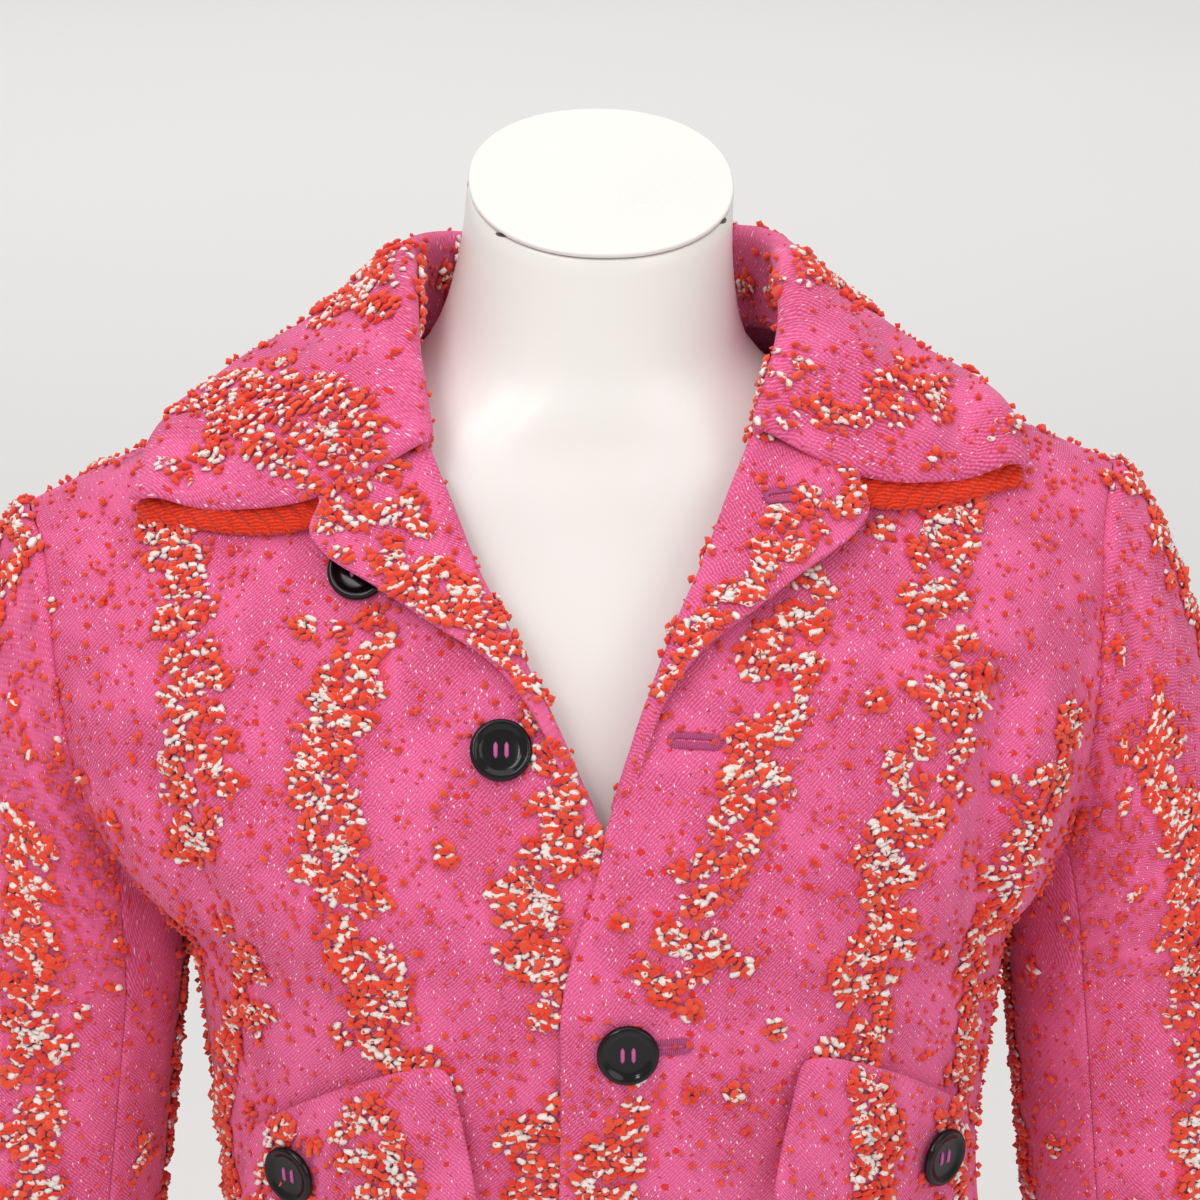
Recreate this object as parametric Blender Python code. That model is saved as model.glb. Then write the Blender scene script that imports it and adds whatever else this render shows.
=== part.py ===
"""Cropped tweed jacket on a limbless dress form.

Metres, +Z up. The jacket's front faces -Y and the wearer's left is +X. The origin is the centre of the
form's flat base. Cloth is a wall built outwards from one smooth torso surface, layer upon layer.
"""

import math
from collections import namedtuple

import bmesh
import bpy
import numpy as np
from mathutils import Vector

# ---- driving dimensions ----
CLOTH = 0.002              # wall of one layer of cloth
SEAM_GAP = 0.0006          # clear space where two pieces are sewn edge to edge
RIDGE_GAP = 2.0e-6         # how close to the shoulder seam the surface is read
HEM_Z = 0.225              # lower edge of the fronts and back
BREAK_Z = 0.527            # where the front opening starts to fold back
OVERLAP = 0.025            # each front's reach past the centre line
OVERLAP_RUN = 0.078        # the height in which it gets there below the break
UNDERARM_Z = 0.457
SHOULDER_TIP_X = 0.215
SIDE_NECK_X = 0.078
SIDE_NECK_Z = 0.692
SHOULDER_SLOPE = 0.44      # drop of the shoulder seam for each metre outwards
CHEST_Z = 0.50             # above this level the torso closes towards the shoulder seam
ROUNDNESS = 2.3            # exponent of the torso's sections
ARMHOLE_FRONT = 0.049      # the armhole's reach forward and back of the shoulder seam
ARMHOLE_BACK = 0.058
CUFF_Z = 0.060
BUTTON_RADIUS = 0.012
BUTTON_DEPTH = 0.0036
BUTTON_SPACING = 0.114
THIRD_BUTTON_Z = 0.443
FLAP_BUTTON_X = 0.1185
FLAP_BUTTON_Z = 0.385
FRONT_SEAM_TURN = 126      # the sleeve's two seams, in degrees round it from its top
BACK_SEAM_TURN = -115
FORM_SPACING = 0.028       # the form's sections are no further apart than this

# shares of a panel's length, from its top row (0) to the hem (1)
NECK_SHARE = 0.20          # the front's inner edge follows the neckline as far as here
BREAK_SHARE = 0.47         # and the roll line as far as here
ARMHOLE_SHARE = 0.56       # the outer edge follows the armhole as far as here
CAP_SHARE = 0.36           # the sleeve's cap, as a share of the sleeve's length
BACK_NECK_SHARE = 0.36     # the back's neckline, as a share of its half top edge

# lift of each layer's inner face above the torso surface
OVER_FRONT_LIFT = 0.0034
POCKET_LIFT = 0.0032
FLAP_LIFT = 0.0068
LAPEL_LIFT = 0.0036
LAPEL_CORNER_LIFT = 0.0112
UNDERCOLLAR_LIFT = 0.0040
COLLAR_LIFT = 0.0078
STAND_LIFT = 0.0032        # at the foot of the collar's stand

# ---- tables, one row for each section ----
Level = namedtuple("Level", "z half_width front back")
JACKET = [
    Level(0.225, 0.151, 0.124, 0.112),
    Level(0.290, 0.146, 0.121, 0.103),
    Level(0.360, 0.151, 0.130, 0.106),
    Level(0.420, 0.158, 0.137, 0.113),
    Level(0.457, 0.164, 0.138, 0.117),
    Level(0.485, 0.186, 0.136, 0.120),
    Level(0.527, 0.208, 0.130, 0.122),
    Level(0.580, 0.221, 0.116, 0.120),
    Level(0.632, 0.226, 0.100, 0.112),
    Level(0.750, 0.226, 0.080, 0.098),
]

FormLevel = namedtuple("FormLevel", "z half_width front back shift_y tilt")
FORM = [
    FormLevel(0.000, 0.150, 0.098, 0.104, 0.000, 0.0),
    FormLevel(0.012, 0.157, 0.103, 0.109, 0.000, 0.0),
    FormLevel(0.090, 0.163, 0.103, 0.113, 0.000, 0.0),
    FormLevel(0.170, 0.148, 0.101, 0.102, 0.000, 0.0),
    FormLevel(0.225, 0.132, 0.098, 0.092, 0.000, 0.0),
    FormLevel(0.290, 0.122, 0.096, 0.084, 0.000, 0.0),
    FormLevel(0.370, 0.137, 0.110, 0.091, 0.000, 0.0),
    FormLevel(0.430, 0.147, 0.121, 0.098, 0.000, 0.0),
    FormLevel(0.480, 0.151, 0.122, 0.102, 0.000, 0.0),
    FormLevel(0.530, 0.160, 0.111, 0.104, 0.000, 0.0),
    FormLevel(0.575, 0.172, 0.092, 0.100, 0.000, 0.0),
    FormLevel(0.605, 0.174, 0.076, 0.090, 0.000, 0.0),
    FormLevel(0.625, 0.165, 0.067, 0.080, 0.000, 0.0),
    FormLevel(0.643, 0.143, 0.061, 0.069, 0.000, 0.0),
    FormLevel(0.660, 0.110, 0.057, 0.057, 0.001, 2.0),
    FormLevel(0.676, 0.079, 0.055, 0.052, 0.001, 5.0),
    FormLevel(0.693, 0.062, 0.053, 0.051, 0.001, 10.0),
    FormLevel(0.712, 0.056, 0.052, 0.051, 0.000, 15.0),
    FormLevel(0.733, 0.053, 0.051, 0.051, -0.003, 21.0),
    FormLevel(0.7535, 0.052, 0.0505, 0.0505, -0.006, 25.0),
]

SleeveRing = namedtuple("SleeveRing", "z x y half_width half_depth")
SLEEVE = [
    SleeveRing(0.440, 0.2225, 0.000, 0.0520, 0.0610),
    SleeveRing(0.360, 0.2290, -0.002, 0.0505, 0.0565),
    SleeveRing(0.270, 0.2350, -0.006, 0.0465, 0.0515),
    SleeveRing(0.160, 0.2350, -0.026, 0.0415, 0.0455),
    SleeveRing(0.060, 0.2310, -0.048, 0.0380, 0.0410),
]

# The collar from the centre back (at 0) to the gorge (at 1). foot is where its stand is sewn to the
# neckline, in_x, in_y and rise are the way from there to the roll, and edge is where its fall ends. Each
# reach runs from the shoulder seam (0) to the chest level, at the front (-1) or the back (+1). dip carries
# the fall forward between the roll and the edge.
CollarStation = namedtuple("CollarStation", "at foot_x foot_reach in_x in_y rise edge_x edge_reach dip")
COLLAR = [
    CollarStation(0.00, 0.0000, 0.42, 0.000, -0.004, 0.037, 0.000, 0.62, 0.000),
    CollarStation(0.28, 0.0430, 0.36, -0.004, -0.004, 0.036, 0.080, 0.57, 0.000),
    CollarStation(0.50, 0.0780, 0.05, -0.011, 0.000, 0.031, 0.150, 0.30, 0.000),
    CollarStation(0.75, 0.0750, -0.26, -0.007, -0.003, 0.017, 0.177, -0.04, 0.020),
    CollarStation(1.00, 0.0635, -0.49, -0.002, -0.003, 0.004, 0.179, -0.36, 0.085),
]
COLLAR_FALL_POWER = 1.6    # how fast the fall comes down from the roll
UNDERCOLLAR_INNER = 0.35   # where the undercollar starts between the roll (0) and the edge (1)
UNDERCOLLAR_REACH = 0.026  # how far it passes the collar's end, as a share of the collar's length

# The front's inner edge below the gorge, and the lapel's outer edge beside it.
LapelRow = namedtuple("LapelRow", "at roll_x roll_z edge_x edge_z")
LAPEL = [
    LapelRow(0.00, 0.0612, 0.6590, 0.1010, 0.6400),
    LapelRow(0.10, 0.0575, 0.6490, 0.1050, 0.6310),
    LapelRow(0.20, 0.0525, 0.6370, 0.1000, 0.6235),
    LapelRow(0.35, 0.0450, 0.6200, 0.0800, 0.6120),
    LapelRow(0.50, 0.0355, 0.6030, 0.0600, 0.6000),
    LapelRow(0.65, 0.0265, 0.5860, 0.0400, 0.5880),
    LapelRow(0.80, 0.0165, 0.5660, 0.0265, 0.5730),
    LapelRow(1.00, 0.0040, 0.5340, 0.0090, 0.5330),
]

# The figure's easy stance: every level moves sideways and tilts with the shoulders.
Stance = namedtuple("Stance", "z shift slant")
STANCE = [
    Stance(0.000, 0.000, 0.000),
    Stance(0.200, 0.006, 0.000),
    Stance(0.330, 0.009, 0.000),
    Stance(0.440, 0.010, 0.000),
    Stance(0.530, 0.002, 0.010),
    Stance(0.600, 0.000, 0.022),
    Stance(0.660, 0.002, 0.022),
    Stance(0.710, 0.008, 0.012),
    Stance(0.760, 0.011, 0.000),
]

# patch pocket and flap, given for the wearer's left
POCKET = {"inner_x": 0.064, "outer_x": 0.141, "top_z": 0.424, "outer_drop": 0.040, "drop_power": 1.2,
          "bottom_z": 0.300, "splay_in": 0.0, "splay_out": 0.0}
FLAP = {"inner_x": 0.0655, "outer_x": 0.1405, "top_z": 0.438, "outer_drop": 0.0425, "drop_power": 1.3,
        "depth": 0.060, "splay_in": 0.10, "splay_out": 0.20, "flare": 0.003}

MATERIALS = {
    "tweed": {"colour": (0.78, 0.11, 0.36), "rough": 0.9, "metallic": 0.0},
    "rib_knit": {"colour": (0.80, 0.06, 0.02), "rough": 0.9, "metallic": 0.0},
    "button": {"colour": (0.010, 0.010, 0.012), "rough": 0.15, "metallic": 0.0},
    "form": {"colour": (0.86, 0.85, 0.82), "rough": 0.25, "metallic": 0.0},
}


# ---- reading tables ----
def smooth(rows, key, column, at):
    """A column of a table, read along its key with a smooth curve that never overshoots."""
    keys = np.array([getattr(row, key) for row in rows])
    values = np.array([getattr(row, column) for row in rows])
    if keys[0] > keys[-1]:
        keys, values = keys[::-1], values[::-1]
    steps = np.diff(keys)
    slopes = np.diff(values) / steps
    tangents = np.concatenate(([slopes[0]], np.zeros(len(slopes) - 1), [slopes[-1]]))
    same = slopes[:-1] * slopes[1:] > 0
    total = np.where(same, slopes[:-1] + slopes[1:], 1.0)
    tangents[1:-1] = np.where(same, 2 * slopes[:-1] * slopes[1:] / total, 0.0)
    at = np.clip(np.asarray(at, dtype=float), keys[0], keys[-1])
    i = np.clip(np.searchsorted(keys, at, side="right") - 1, 0, len(steps) - 1)
    t = (at - keys[i]) / steps[i]
    start = (1 + 2 * t) * (1 - t) ** 2 * values[i] + t * (1 - t) ** 2 * steps[i] * tangents[i]
    end = t * t * (3 - 2 * t) * values[i + 1] - t * t * (1 - t) * steps[i] * tangents[i + 1]
    return start + end


def ease(t):
    """0 to 1 with a soft start and a soft end."""
    t = np.clip(t, 0.0, 1.0)
    return t * t * (3 - 2 * t)


def points(x, y, z):
    """Three arrays of coordinates as one array of points."""
    columns = [np.asarray(value, dtype=float) for value in (x, y, z)]
    return np.stack(np.broadcast_arrays(*columns), axis=-1)


def standing(place):
    """Points of the upright figure, moved into its stance."""
    place = np.asarray(place, float)
    shift = smooth(STANCE, "z", "shift", place[..., 2])
    slant = smooth(STANCE, "z", "slant", place[..., 2])
    return points(place[..., 0] + shift, place[..., 1], place[..., 2] + slant * place[..., 0])


# ---- the torso surface, which every layer of cloth lies on ----
def shoulder_height(x):
    """Height of the shoulder seam at a distance from the centre."""
    return SIDE_NECK_Z - SHOULDER_SLOPE * (np.abs(x) - SIDE_NECK_X)


def torso_y(x, z, facing):
    """Depth of the torso surface at a place seen from the front (facing -1) or the back (+1)."""
    width = smooth(JACKET, "z", "half_width", z)
    depth = smooth(JACKET, "z", "front" if facing < 0 else "back", z)
    across = np.clip(1 - (np.abs(x) / width) ** ROUNDNESS, 0.0, 1.0) ** (1 / ROUNDNESS)
    climb = np.clip((z - CHEST_Z) / (shoulder_height(x) - CHEST_Z), 0.0, 1.0)
    closing = np.clip(1 - climb ** ROUNDNESS, 0.0, 1.0) ** (1 / ROUNDNESS)
    return facing * depth * across * closing


def on_torso(x, z, facing):
    return points(x, torso_y(x, z, facing), z)


def over_shoulder(x, reach):
    """A point of the torso surface by its distance from the shoulder seam: -1 front, +1 back."""
    top = shoulder_height(x)
    z = top - (top - CHEST_Z) * np.abs(reach) ** ROUNDNESS
    front = torso_y(x, z, -1)
    back = torso_y(x, z, 1)
    return points(x, np.where(np.asarray(reach) < 0, front, back), z)


def lifted(surface, u, v, lift):
    """Points of a two-parameter surface, moved out along its normal."""
    step = 0.0005
    here = surface(u, v)
    along_u = surface(u + step, v) - surface(u - step, v)
    along_v = surface(u, v + step) - surface(u, v - step)
    normal = np.cross(along_u, along_v)
    normal /= np.linalg.norm(normal, axis=-1, keepdims=True) + 1e-12
    centre = points(0.0, 0.0, 0.45)
    inward = np.sum(normal * (here - centre), axis=-1, keepdims=True) < 0
    normal = np.where(inward, -normal, normal)
    return here + normal * np.asarray(lift)[..., None]


# ---- meshes ----
def material(name):
    existing = bpy.data.materials.get(name)
    if existing:
        return existing
    values = MATERIALS[name]
    made = bpy.data.materials.new(name)
    made.use_nodes = True
    shader = made.node_tree.nodes["Principled BSDF"]
    shader.inputs["Base Color"].default_value = (*values["colour"], 1.0)
    shader.inputs["Roughness"].default_value = values["rough"]
    shader.inputs["Metallic"].default_value = values["metallic"]
    return made


def new_object(name, bm, material_name):
    bmesh.ops.recalc_face_normals(bm, faces=bm.faces)
    mesh = bpy.data.meshes.new(name)
    bm.to_mesh(mesh)
    bm.free()
    mesh.materials.append(material(material_name))
    mesh.shade_smooth()
    mesh.set_sharp_from_angle(angle=math.radians(35))
    made = bpy.data.objects.new(name, mesh)
    bpy.context.scene.collection.objects.link(made)
    return made


def cloth_piece(name, grid, material_name="tweed"):
    """A wall of cloth on a grid of points, which is the cloth's inner face."""
    rows, columns = grid.shape[:2]
    mesh = bpy.data.meshes.new(name)
    vertices = standing(grid).reshape(-1, 3)
    faces = []
    for i in range(rows - 1):
        for j in range(columns - 1):
            corner = i * columns + j
            faces.append((corner, corner + 1, corner + columns + 1, corner + columns))
    mesh.from_pydata(vertices.tolist(), [], faces)
    mesh.materials.append(material(material_name))
    mesh.shade_smooth()
    made = bpy.data.objects.new(name, mesh)
    bpy.context.scene.collection.objects.link(made)
    wall = made.modifiers.new("wall", "SOLIDIFY")
    wall.thickness = CLOTH
    wall.offset = 1.0
    wall.use_even_offset = True
    wall.use_quality_normals = True
    return made


def mirrored(grid):
    """The same grid for the wearer's right, with its faces still pointing out."""
    return (grid * np.array([-1.0, 1.0, 1.0]))[:, ::-1]


# ---- fronts and back ----
def angle_of(x, z):
    """Angle round the section, from the centre line to the side."""
    width = smooth(JACKET, "z", "half_width", z)
    share = np.clip(np.abs(x) / width, 0.0, 1.0)
    return np.sign(x) * np.arcsin(share ** (ROUNDNESS / 2))


def x_at(angle, z):
    width = smooth(JACKET, "z", "half_width", z)
    return np.sign(angle) * width * np.abs(np.sin(angle)) ** (2 / ROUNDNESS)


def armhole(turn, facing=None):
    """The armhole's loop on the torso: 0 at the shoulder tip, pi at the underarm, by the front."""
    turn = np.asarray(turn, dtype=float)
    tip_z = shoulder_height(SHOULDER_TIP_X)
    z = UNDERARM_Z + (tip_z - UNDERARM_Z) * (1 + np.cos(turn)) / 2
    side = np.where(np.sin(turn) >= 0, -1.0, 1.0) if facing is None else np.full(turn.shape, float(facing))
    reach = np.where(side < 0, ARMHOLE_FRONT, ARMHOLE_BACK) * np.abs(np.sin(turn))
    width = smooth(JACKET, "z", "half_width", z)
    depth = np.where(side < 0, smooth(JACKET, "z", "front", z), smooth(JACKET, "z", "back", z))
    x = np.full(turn.shape, 0.20)
    for _ in range(60):
        climb = np.clip((z - CHEST_Z) / (shoulder_height(x) - CHEST_Z), 0.0, 1.0)
        closing = np.clip(1 - climb ** ROUNDNESS, 1e-9, 1.0) ** (1 / ROUNDNESS)
        share = np.clip(reach / (depth * closing), 0.0, 1.0)
        wanted = width * (1 - share ** ROUNDNESS) ** (1 / ROUNDNESS)
        x = 0.7 * x + 0.3 * np.minimum(wanted, SHOULDER_TIP_X)
    return points(x, side * reach, z)


def side_edge(s, facing):
    """A panel's outer edge: down the armhole, then down the side seam to the hem."""
    upper = armhole(math.pi * np.clip(s / ARMHOLE_SHARE, 0.0, 1.0) ** 0.9, facing)
    down = np.clip((s - ARMHOLE_SHARE) / (1 - ARMHOLE_SHARE), 0.0, 1.0)
    lower_z = UNDERARM_Z + (HEM_Z - UNDERARM_Z) * down
    lower_x = smooth(JACKET, "z", "half_width", lower_z)
    x = np.where(s < ARMHOLE_SHARE, upper[..., 0], lower_x)
    z = np.where(s < ARMHOLE_SHARE, upper[..., 2], lower_z)
    return x, z


def neck_edge(s):
    """The front's neckline from the shoulder seam (s 0) to the gorge, as x and z."""
    along = np.clip(s / NECK_SHARE, 0.0, 1.0)
    at = 0.5 + 0.5 * along
    x = smooth(COLLAR, "at", "foot_x", at)
    reach = np.minimum(smooth(COLLAR, "at", "foot_reach", at) * along ** 0.25, 0.0)
    top = shoulder_height(x)
    return x, top - (top - CHEST_Z) * np.abs(reach) ** ROUNDNESS


def front_edge(s):
    """The front's inner edge: neckline, roll line, then the buttoned edge past the centre line."""
    neck_x, neck_z = neck_edge(s)
    along = np.clip((s - NECK_SHARE) / (BREAK_SHARE - NECK_SHARE), 0.0, 1.0)
    roll_x = smooth(LAPEL, "at", "roll_x", along) - LAPEL[-1].roll_x * along ** 6
    roll_z = smooth(LAPEL, "at", "roll_z", along) - (LAPEL[-1].roll_z - BREAK_Z) * along ** 6
    down = np.clip((s - BREAK_SHARE) / (1 - BREAK_SHARE), 0.0, 1.0)
    edge_z = BREAK_Z + (HEM_Z - BREAK_Z) * down
    edge_x = -OVERLAP * ease((BREAK_Z - edge_z) / OVERLAP_RUN) ** 0.8
    x = np.where(s < NECK_SHARE, neck_x, np.where(s < BREAK_SHARE, roll_x, edge_x))
    z = np.where(s < NECK_SHARE, neck_z, np.where(s < BREAK_SHARE, roll_z, edge_z))
    return x, z


def over_lift(x, z):
    """The over front rises off the under front near the buttons."""
    return OVER_FRONT_LIFT * ease((0.060 - x) / 0.035) * ease((BREAK_Z + 0.030 - z) / 0.030)


def panel_grid(facing, s, t, inner, outer, lift):
    """A panel between its inner and outer edges on the torso. Rows run from the shoulder to the hem."""
    inner_x, inner_z = (value[:, None] for value in inner)
    outer_x, outer_z = (value[:, None] for value in outer)
    t = t[None, :]
    z = inner_z + (outer_z - inner_z) * t
    angle = angle_of(inner_x, inner_z) * (1 - t) + angle_of(outer_x, outer_z) * t
    x = x_at(angle, z)
    # the top row lies along the shoulder seam, a hair's breadth from the other panel's
    first_x = inner_x[0] + (outer_x[0] - inner_x[0]) * t[0]
    fade = np.clip(1 - s[:, None] / 0.10, 0.0, 1.0)
    x = x + (first_x - x[0]) * fade
    limit = shoulder_height(x) - RIDGE_GAP
    z = np.minimum(z, limit)
    z[0] = limit[0]
    return lifted_on_torso(x, z, facing, lift(x, z))


def lifted_on_torso(x, z, facing, lift):
    """Points moved out from the torso surface, steady at the side and at the shoulder seam too."""
    here = on_torso(x, z, facing)
    step = 0.0006
    angle = angle_of(x, z)
    low = np.clip(np.abs(angle) - 0.01, 0.0, None)
    high = np.abs(angle) + 0.01
    over = np.clip(high - math.pi / 2, 0.0, None)
    sign = np.where(x < 0, -1.0, 1.0)
    before = on_torso(sign * np.abs(x_at(low, z)), z, facing)
    after = on_torso(sign * np.abs(x_at(high - over, z)), z, facing)
    # past the side seam the section goes on behind it, mirrored
    beyond = on_torso(sign * np.abs(x_at(math.pi / 2 - over, z)), z, facing)
    beyond[..., 1] *= -1
    after = np.where((over > 0)[..., None], beyond, after)
    across = (after - before) * sign[..., None]
    above = np.minimum(z + step, shoulder_height(x) - 1e-7)
    up = on_torso(x, above, facing) - on_torso(x, z - step, facing)
    normal = np.cross(across, up)
    normal *= -facing
    normal /= np.linalg.norm(normal, axis=-1, keepdims=True) + 1e-12
    return here + normal * np.asarray(lift)[..., None]


def seam_inset(grid, edge, amount):
    """Draw one edge of a grid back along its own surface, to leave room at a seam."""
    grid = grid.copy()
    last, before = {"left": ((slice(None), 0), (slice(None), 1)),
                    "right": ((slice(None), -1), (slice(None), -2)),
                    "top": ((0,), (1,))}[edge]
    way = grid[before] - grid[last]
    way /= np.linalg.norm(way, axis=-1, keepdims=True)
    grid[last] += way * amount
    return grid


def front_grid(lift):
    s = np.concatenate((np.linspace(0, NECK_SHARE, 5)[:-1], np.linspace(NECK_SHARE, BREAK_SHARE, 7)[:-1],
                        np.linspace(BREAK_SHARE, ARMHOLE_SHARE, 3)[:-1], np.linspace(ARMHOLE_SHARE, 1, 9)))
    t = np.linspace(0, 1, 12)
    grid = panel_grid(-1, s, t, front_edge(s), side_edge(s, -1), lift)
    grid = seam_inset(grid, "right", SEAM_GAP)
    return seam_inset(grid, "top", SEAM_GAP)


def make_fronts():
    left = front_grid(over_lift)
    right = front_grid(lambda x, z: np.zeros_like(x))
    cloth_piece("front_left", left)
    cloth_piece("front_right", mirrored(right))


def back_half(s, t):
    """One half of the back: its top row follows the neckline, then the shoulder seam."""
    outer_x, outer_z = side_edge(s, 1)
    on_neck = t < BACK_NECK_SHARE
    at = 0.5 * np.clip(t / BACK_NECK_SHARE, 0.0, 1.0)
    neck_x = smooth(COLLAR, "at", "foot_x", at)
    neck_reach = smooth(COLLAR, "at", "foot_reach", at) * ease((BACK_NECK_SHARE - t) / 0.06)
    along_seam = np.clip((t - BACK_NECK_SHARE) / (1 - BACK_NECK_SHARE), 0.0, 1.0)
    seam_x = SIDE_NECK_X + (SHOULDER_TIP_X - SIDE_NECK_X) * along_seam
    top_x = np.where(on_neck, neck_x, seam_x)
    reach = np.where(on_neck, neck_reach, 0.0)
    top_z = shoulder_height(top_x) - (shoulder_height(top_x) - CHEST_Z) * reach ** ROUNDNESS
    drop = (outer_z[0] - outer_z) / (outer_z[0] - outer_z[-1])
    z = top_z[None, :] + (HEM_Z - top_z[None, :]) * drop[:, None]
    top_angle = angle_of(top_x, top_z)
    low_angle = t * math.pi / 2
    blend = ease(drop / 0.45)[:, None]
    angle = top_angle[None, :] * (1 - blend) + low_angle[None, :] * blend
    edge_angle = angle_of(outer_x, outer_z)
    angle = angle * (edge_angle[:, None] / angle[:, -1:])
    x = x_at(angle, z)
    x[0] = top_x
    return x, np.minimum(z, shoulder_height(x) - RIDGE_GAP)


def make_back():
    s = np.concatenate((np.linspace(0, ARMHOLE_SHARE, 12)[:-1], np.linspace(ARMHOLE_SHARE, 1, 9)))
    t = np.concatenate((np.linspace(0, BACK_NECK_SHARE, 5)[:-1], np.linspace(BACK_NECK_SHARE, 1, 8)))
    x, z = back_half(s, t)
    half = lifted_on_torso(x, z, 1, np.zeros_like(x))
    half = seam_inset(half, "right", SEAM_GAP)
    half = seam_inset(half, "top", 2 * SEAM_GAP)
    half[:, 0, 0] = 0.0
    other = (half * np.array([-1.0, 1.0, 1.0]))[:, :0:-1]
    whole = np.concatenate((other, half), axis=1)
    cloth_piece("back", whole[:, ::-1])


# ---- sleeves ----
def sleeve_point(turn, s):
    """The sleeve's surface: s 0 at the armhole, 1 at the cuff; turn 0 on top, pi at the underarm."""
    turn, s = np.broadcast_arrays(np.asarray(turn, float), np.asarray(s, float))
    start = armhole(turn)
    low = (1 - np.cos(turn)) / 2
    start = start + points(SEAM_GAP + 0.0052 * low ** 1.5, 0.0, 0.0)
    ring = SLEEVE[0]
    end = points(ring.x + ring.half_width * np.cos(turn), ring.y - ring.half_depth * np.sin(turn), ring.z)
    bend = start + (end - start) * np.array([0.62, 0.62, 0.15])
    u = np.clip(s / CAP_SHARE, 0.0, 1.0)[..., None]
    cap = start * (1 - u) ** 2 + bend * 2 * u * (1 - u) + end * u ** 2
    z = ring.z + (CUFF_Z - ring.z) * np.clip((s - CAP_SHARE) / (1 - CAP_SHARE), 0.0, 1.0)
    x = smooth(SLEEVE, "z", "x", z) + smooth(SLEEVE, "z", "half_width", z) * np.cos(turn)
    y = smooth(SLEEVE, "z", "y", z) - smooth(SLEEVE, "z", "half_depth", z) * np.sin(turn)
    return np.where((s < CAP_SHARE)[..., None], cap, points(x, y, z))


def make_sleeves():
    front_seam = math.radians(FRONT_SEAM_TURN)
    back_seam = math.radians(BACK_SEAM_TURN)
    gap = 0.022
    s = np.concatenate((np.linspace(0, CAP_SHARE, 7)[:-1], np.linspace(CAP_SHARE, 1, 9)))
    pieces = {
        "sleeve_top": np.linspace(back_seam + gap, front_seam - gap, 14),
        "sleeve_under": np.linspace(front_seam, back_seam + 2 * math.pi, 8),
    }
    for name, turns in pieces.items():
        grid = sleeve_point(turns[None, :], s[:, None])
        cloth_piece(name + "_left", grid[:, ::-1])
        cloth_piece(name + "_right", mirrored(grid[:, ::-1]))


# ---- collar ----
def collar_point(at, across, lift):
    """The collar: across runs from the foot of the stand (-1) over the roll (0) to the fall's edge (1)."""
    at, across = np.broadcast_arrays(np.asarray(at, float), np.asarray(across, float))
    foot_x = smooth(COLLAR, "at", "foot_x", at)
    foot_reach = smooth(COLLAR, "at", "foot_reach", at)
    beyond = np.clip(at - 1, 0.0, None)
    out = np.clip(across, 0.0, 1.0)
    edge_x = smooth(COLLAR, "at", "edge_x", at)
    edge_reach = smooth(COLLAR, "at", "edge_reach", at)
    x = foot_x + (edge_x - foot_x) * out
    dip = smooth(COLLAR, "at", "dip", at) * np.sin(math.pi * out)
    reach = foot_reach + (edge_reach - foot_reach) * out - dip - beyond * 1.6
    rise = points(smooth(COLLAR, "at", "in_x", at), smooth(COLLAR, "at", "in_y", at),
                  smooth(COLLAR, "at", "rise", at))
    share = np.where(across < 0, 1 + across, (1 - out) ** COLLAR_FALL_POWER)
    base = lifted(over_shoulder, x, reach, lift)
    return base + rise * share[..., None]


def both_sides(half):
    """A half made from the centre back to the wearer's left, joined to its mirror image."""
    half = half.copy()
    half[0, :, 0] = 0.0
    other = (half * np.array([-1.0, 1.0, 1.0]))[:0:-1]
    return np.concatenate((other, half), axis=0)


def make_collar():
    at = np.linspace(0, 1, 15)
    across = np.array([-1.0, -0.5, 0.0, 0.10, 0.24, 0.42, 0.62, 0.82, 1.0])
    lift = COLLAR_LIFT + (STAND_LIFT - COLLAR_LIFT) * np.clip(-across, 0.0, 1.0)
    half = collar_point(at[:, None], across[None, :], np.broadcast_to(lift, (len(at), len(across))))
    cloth_piece("collar_top", both_sides(half))
    at = np.concatenate((np.linspace(0, 1, 13), [1 + UNDERCOLLAR_REACH]))
    across = np.linspace(UNDERCOLLAR_INNER, 0.995, 4)
    lift = np.full((len(at), len(across)), UNDERCOLLAR_LIFT)
    half = collar_point(at[:, None], across[None, :], lift)
    cloth_piece("collar_under", both_sides(half), "rib_knit")


# ---- lapels ----
def make_lapels():
    along = np.linspace(0.0, 1.0, 11)[:, None]
    across = np.linspace(0, 1, 6)[None, :]
    roll_x = smooth(LAPEL, "at", "roll_x", along)
    roll_z = smooth(LAPEL, "at", "roll_z", along)
    x = roll_x + (smooth(LAPEL, "at", "edge_x", along) - roll_x) * across
    z = roll_z + (smooth(LAPEL, "at", "edge_z", along) - roll_z) * across
    x = x + 0.001 * (1 - across)
    lift = LAPEL_LIFT + (LAPEL_CORNER_LIFT - LAPEL_LIFT) * across ** 0.6 * (1 - along) ** 0.7
    right = lifted_on_torso(x, z, -1, lift)
    left = lifted_on_torso(x, z, -1, lift + over_lift(x, z))
    cloth_piece("lapel_left", left)
    cloth_piece("lapel_right", mirrored(right))


# ---- pockets and flaps ----
def patch_grid(size, depth, lift, rows, columns, flare=0.0):
    """A patch on the front, its top edge dropping towards the side."""
    across = np.linspace(0, 1, columns)[None, :]
    down = np.linspace(0, 1, rows)[:, None]
    inner = angle_of(size["inner_x"], size["top_z"])
    outer = angle_of(size["outer_x"], size["top_z"])
    splay = (size["splay_in"] + size["splay_out"]) * across - size["splay_in"]
    angle = inner + (outer - inner) * (across + splay * down)
    top = size["top_z"] - size["outer_drop"] * across ** size["drop_power"]
    z = top - depth(top) * down
    x = x_at(angle, z)
    return lifted_on_torso(x, z, -1, lift + flare * down + over_lift(x, z))


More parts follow.
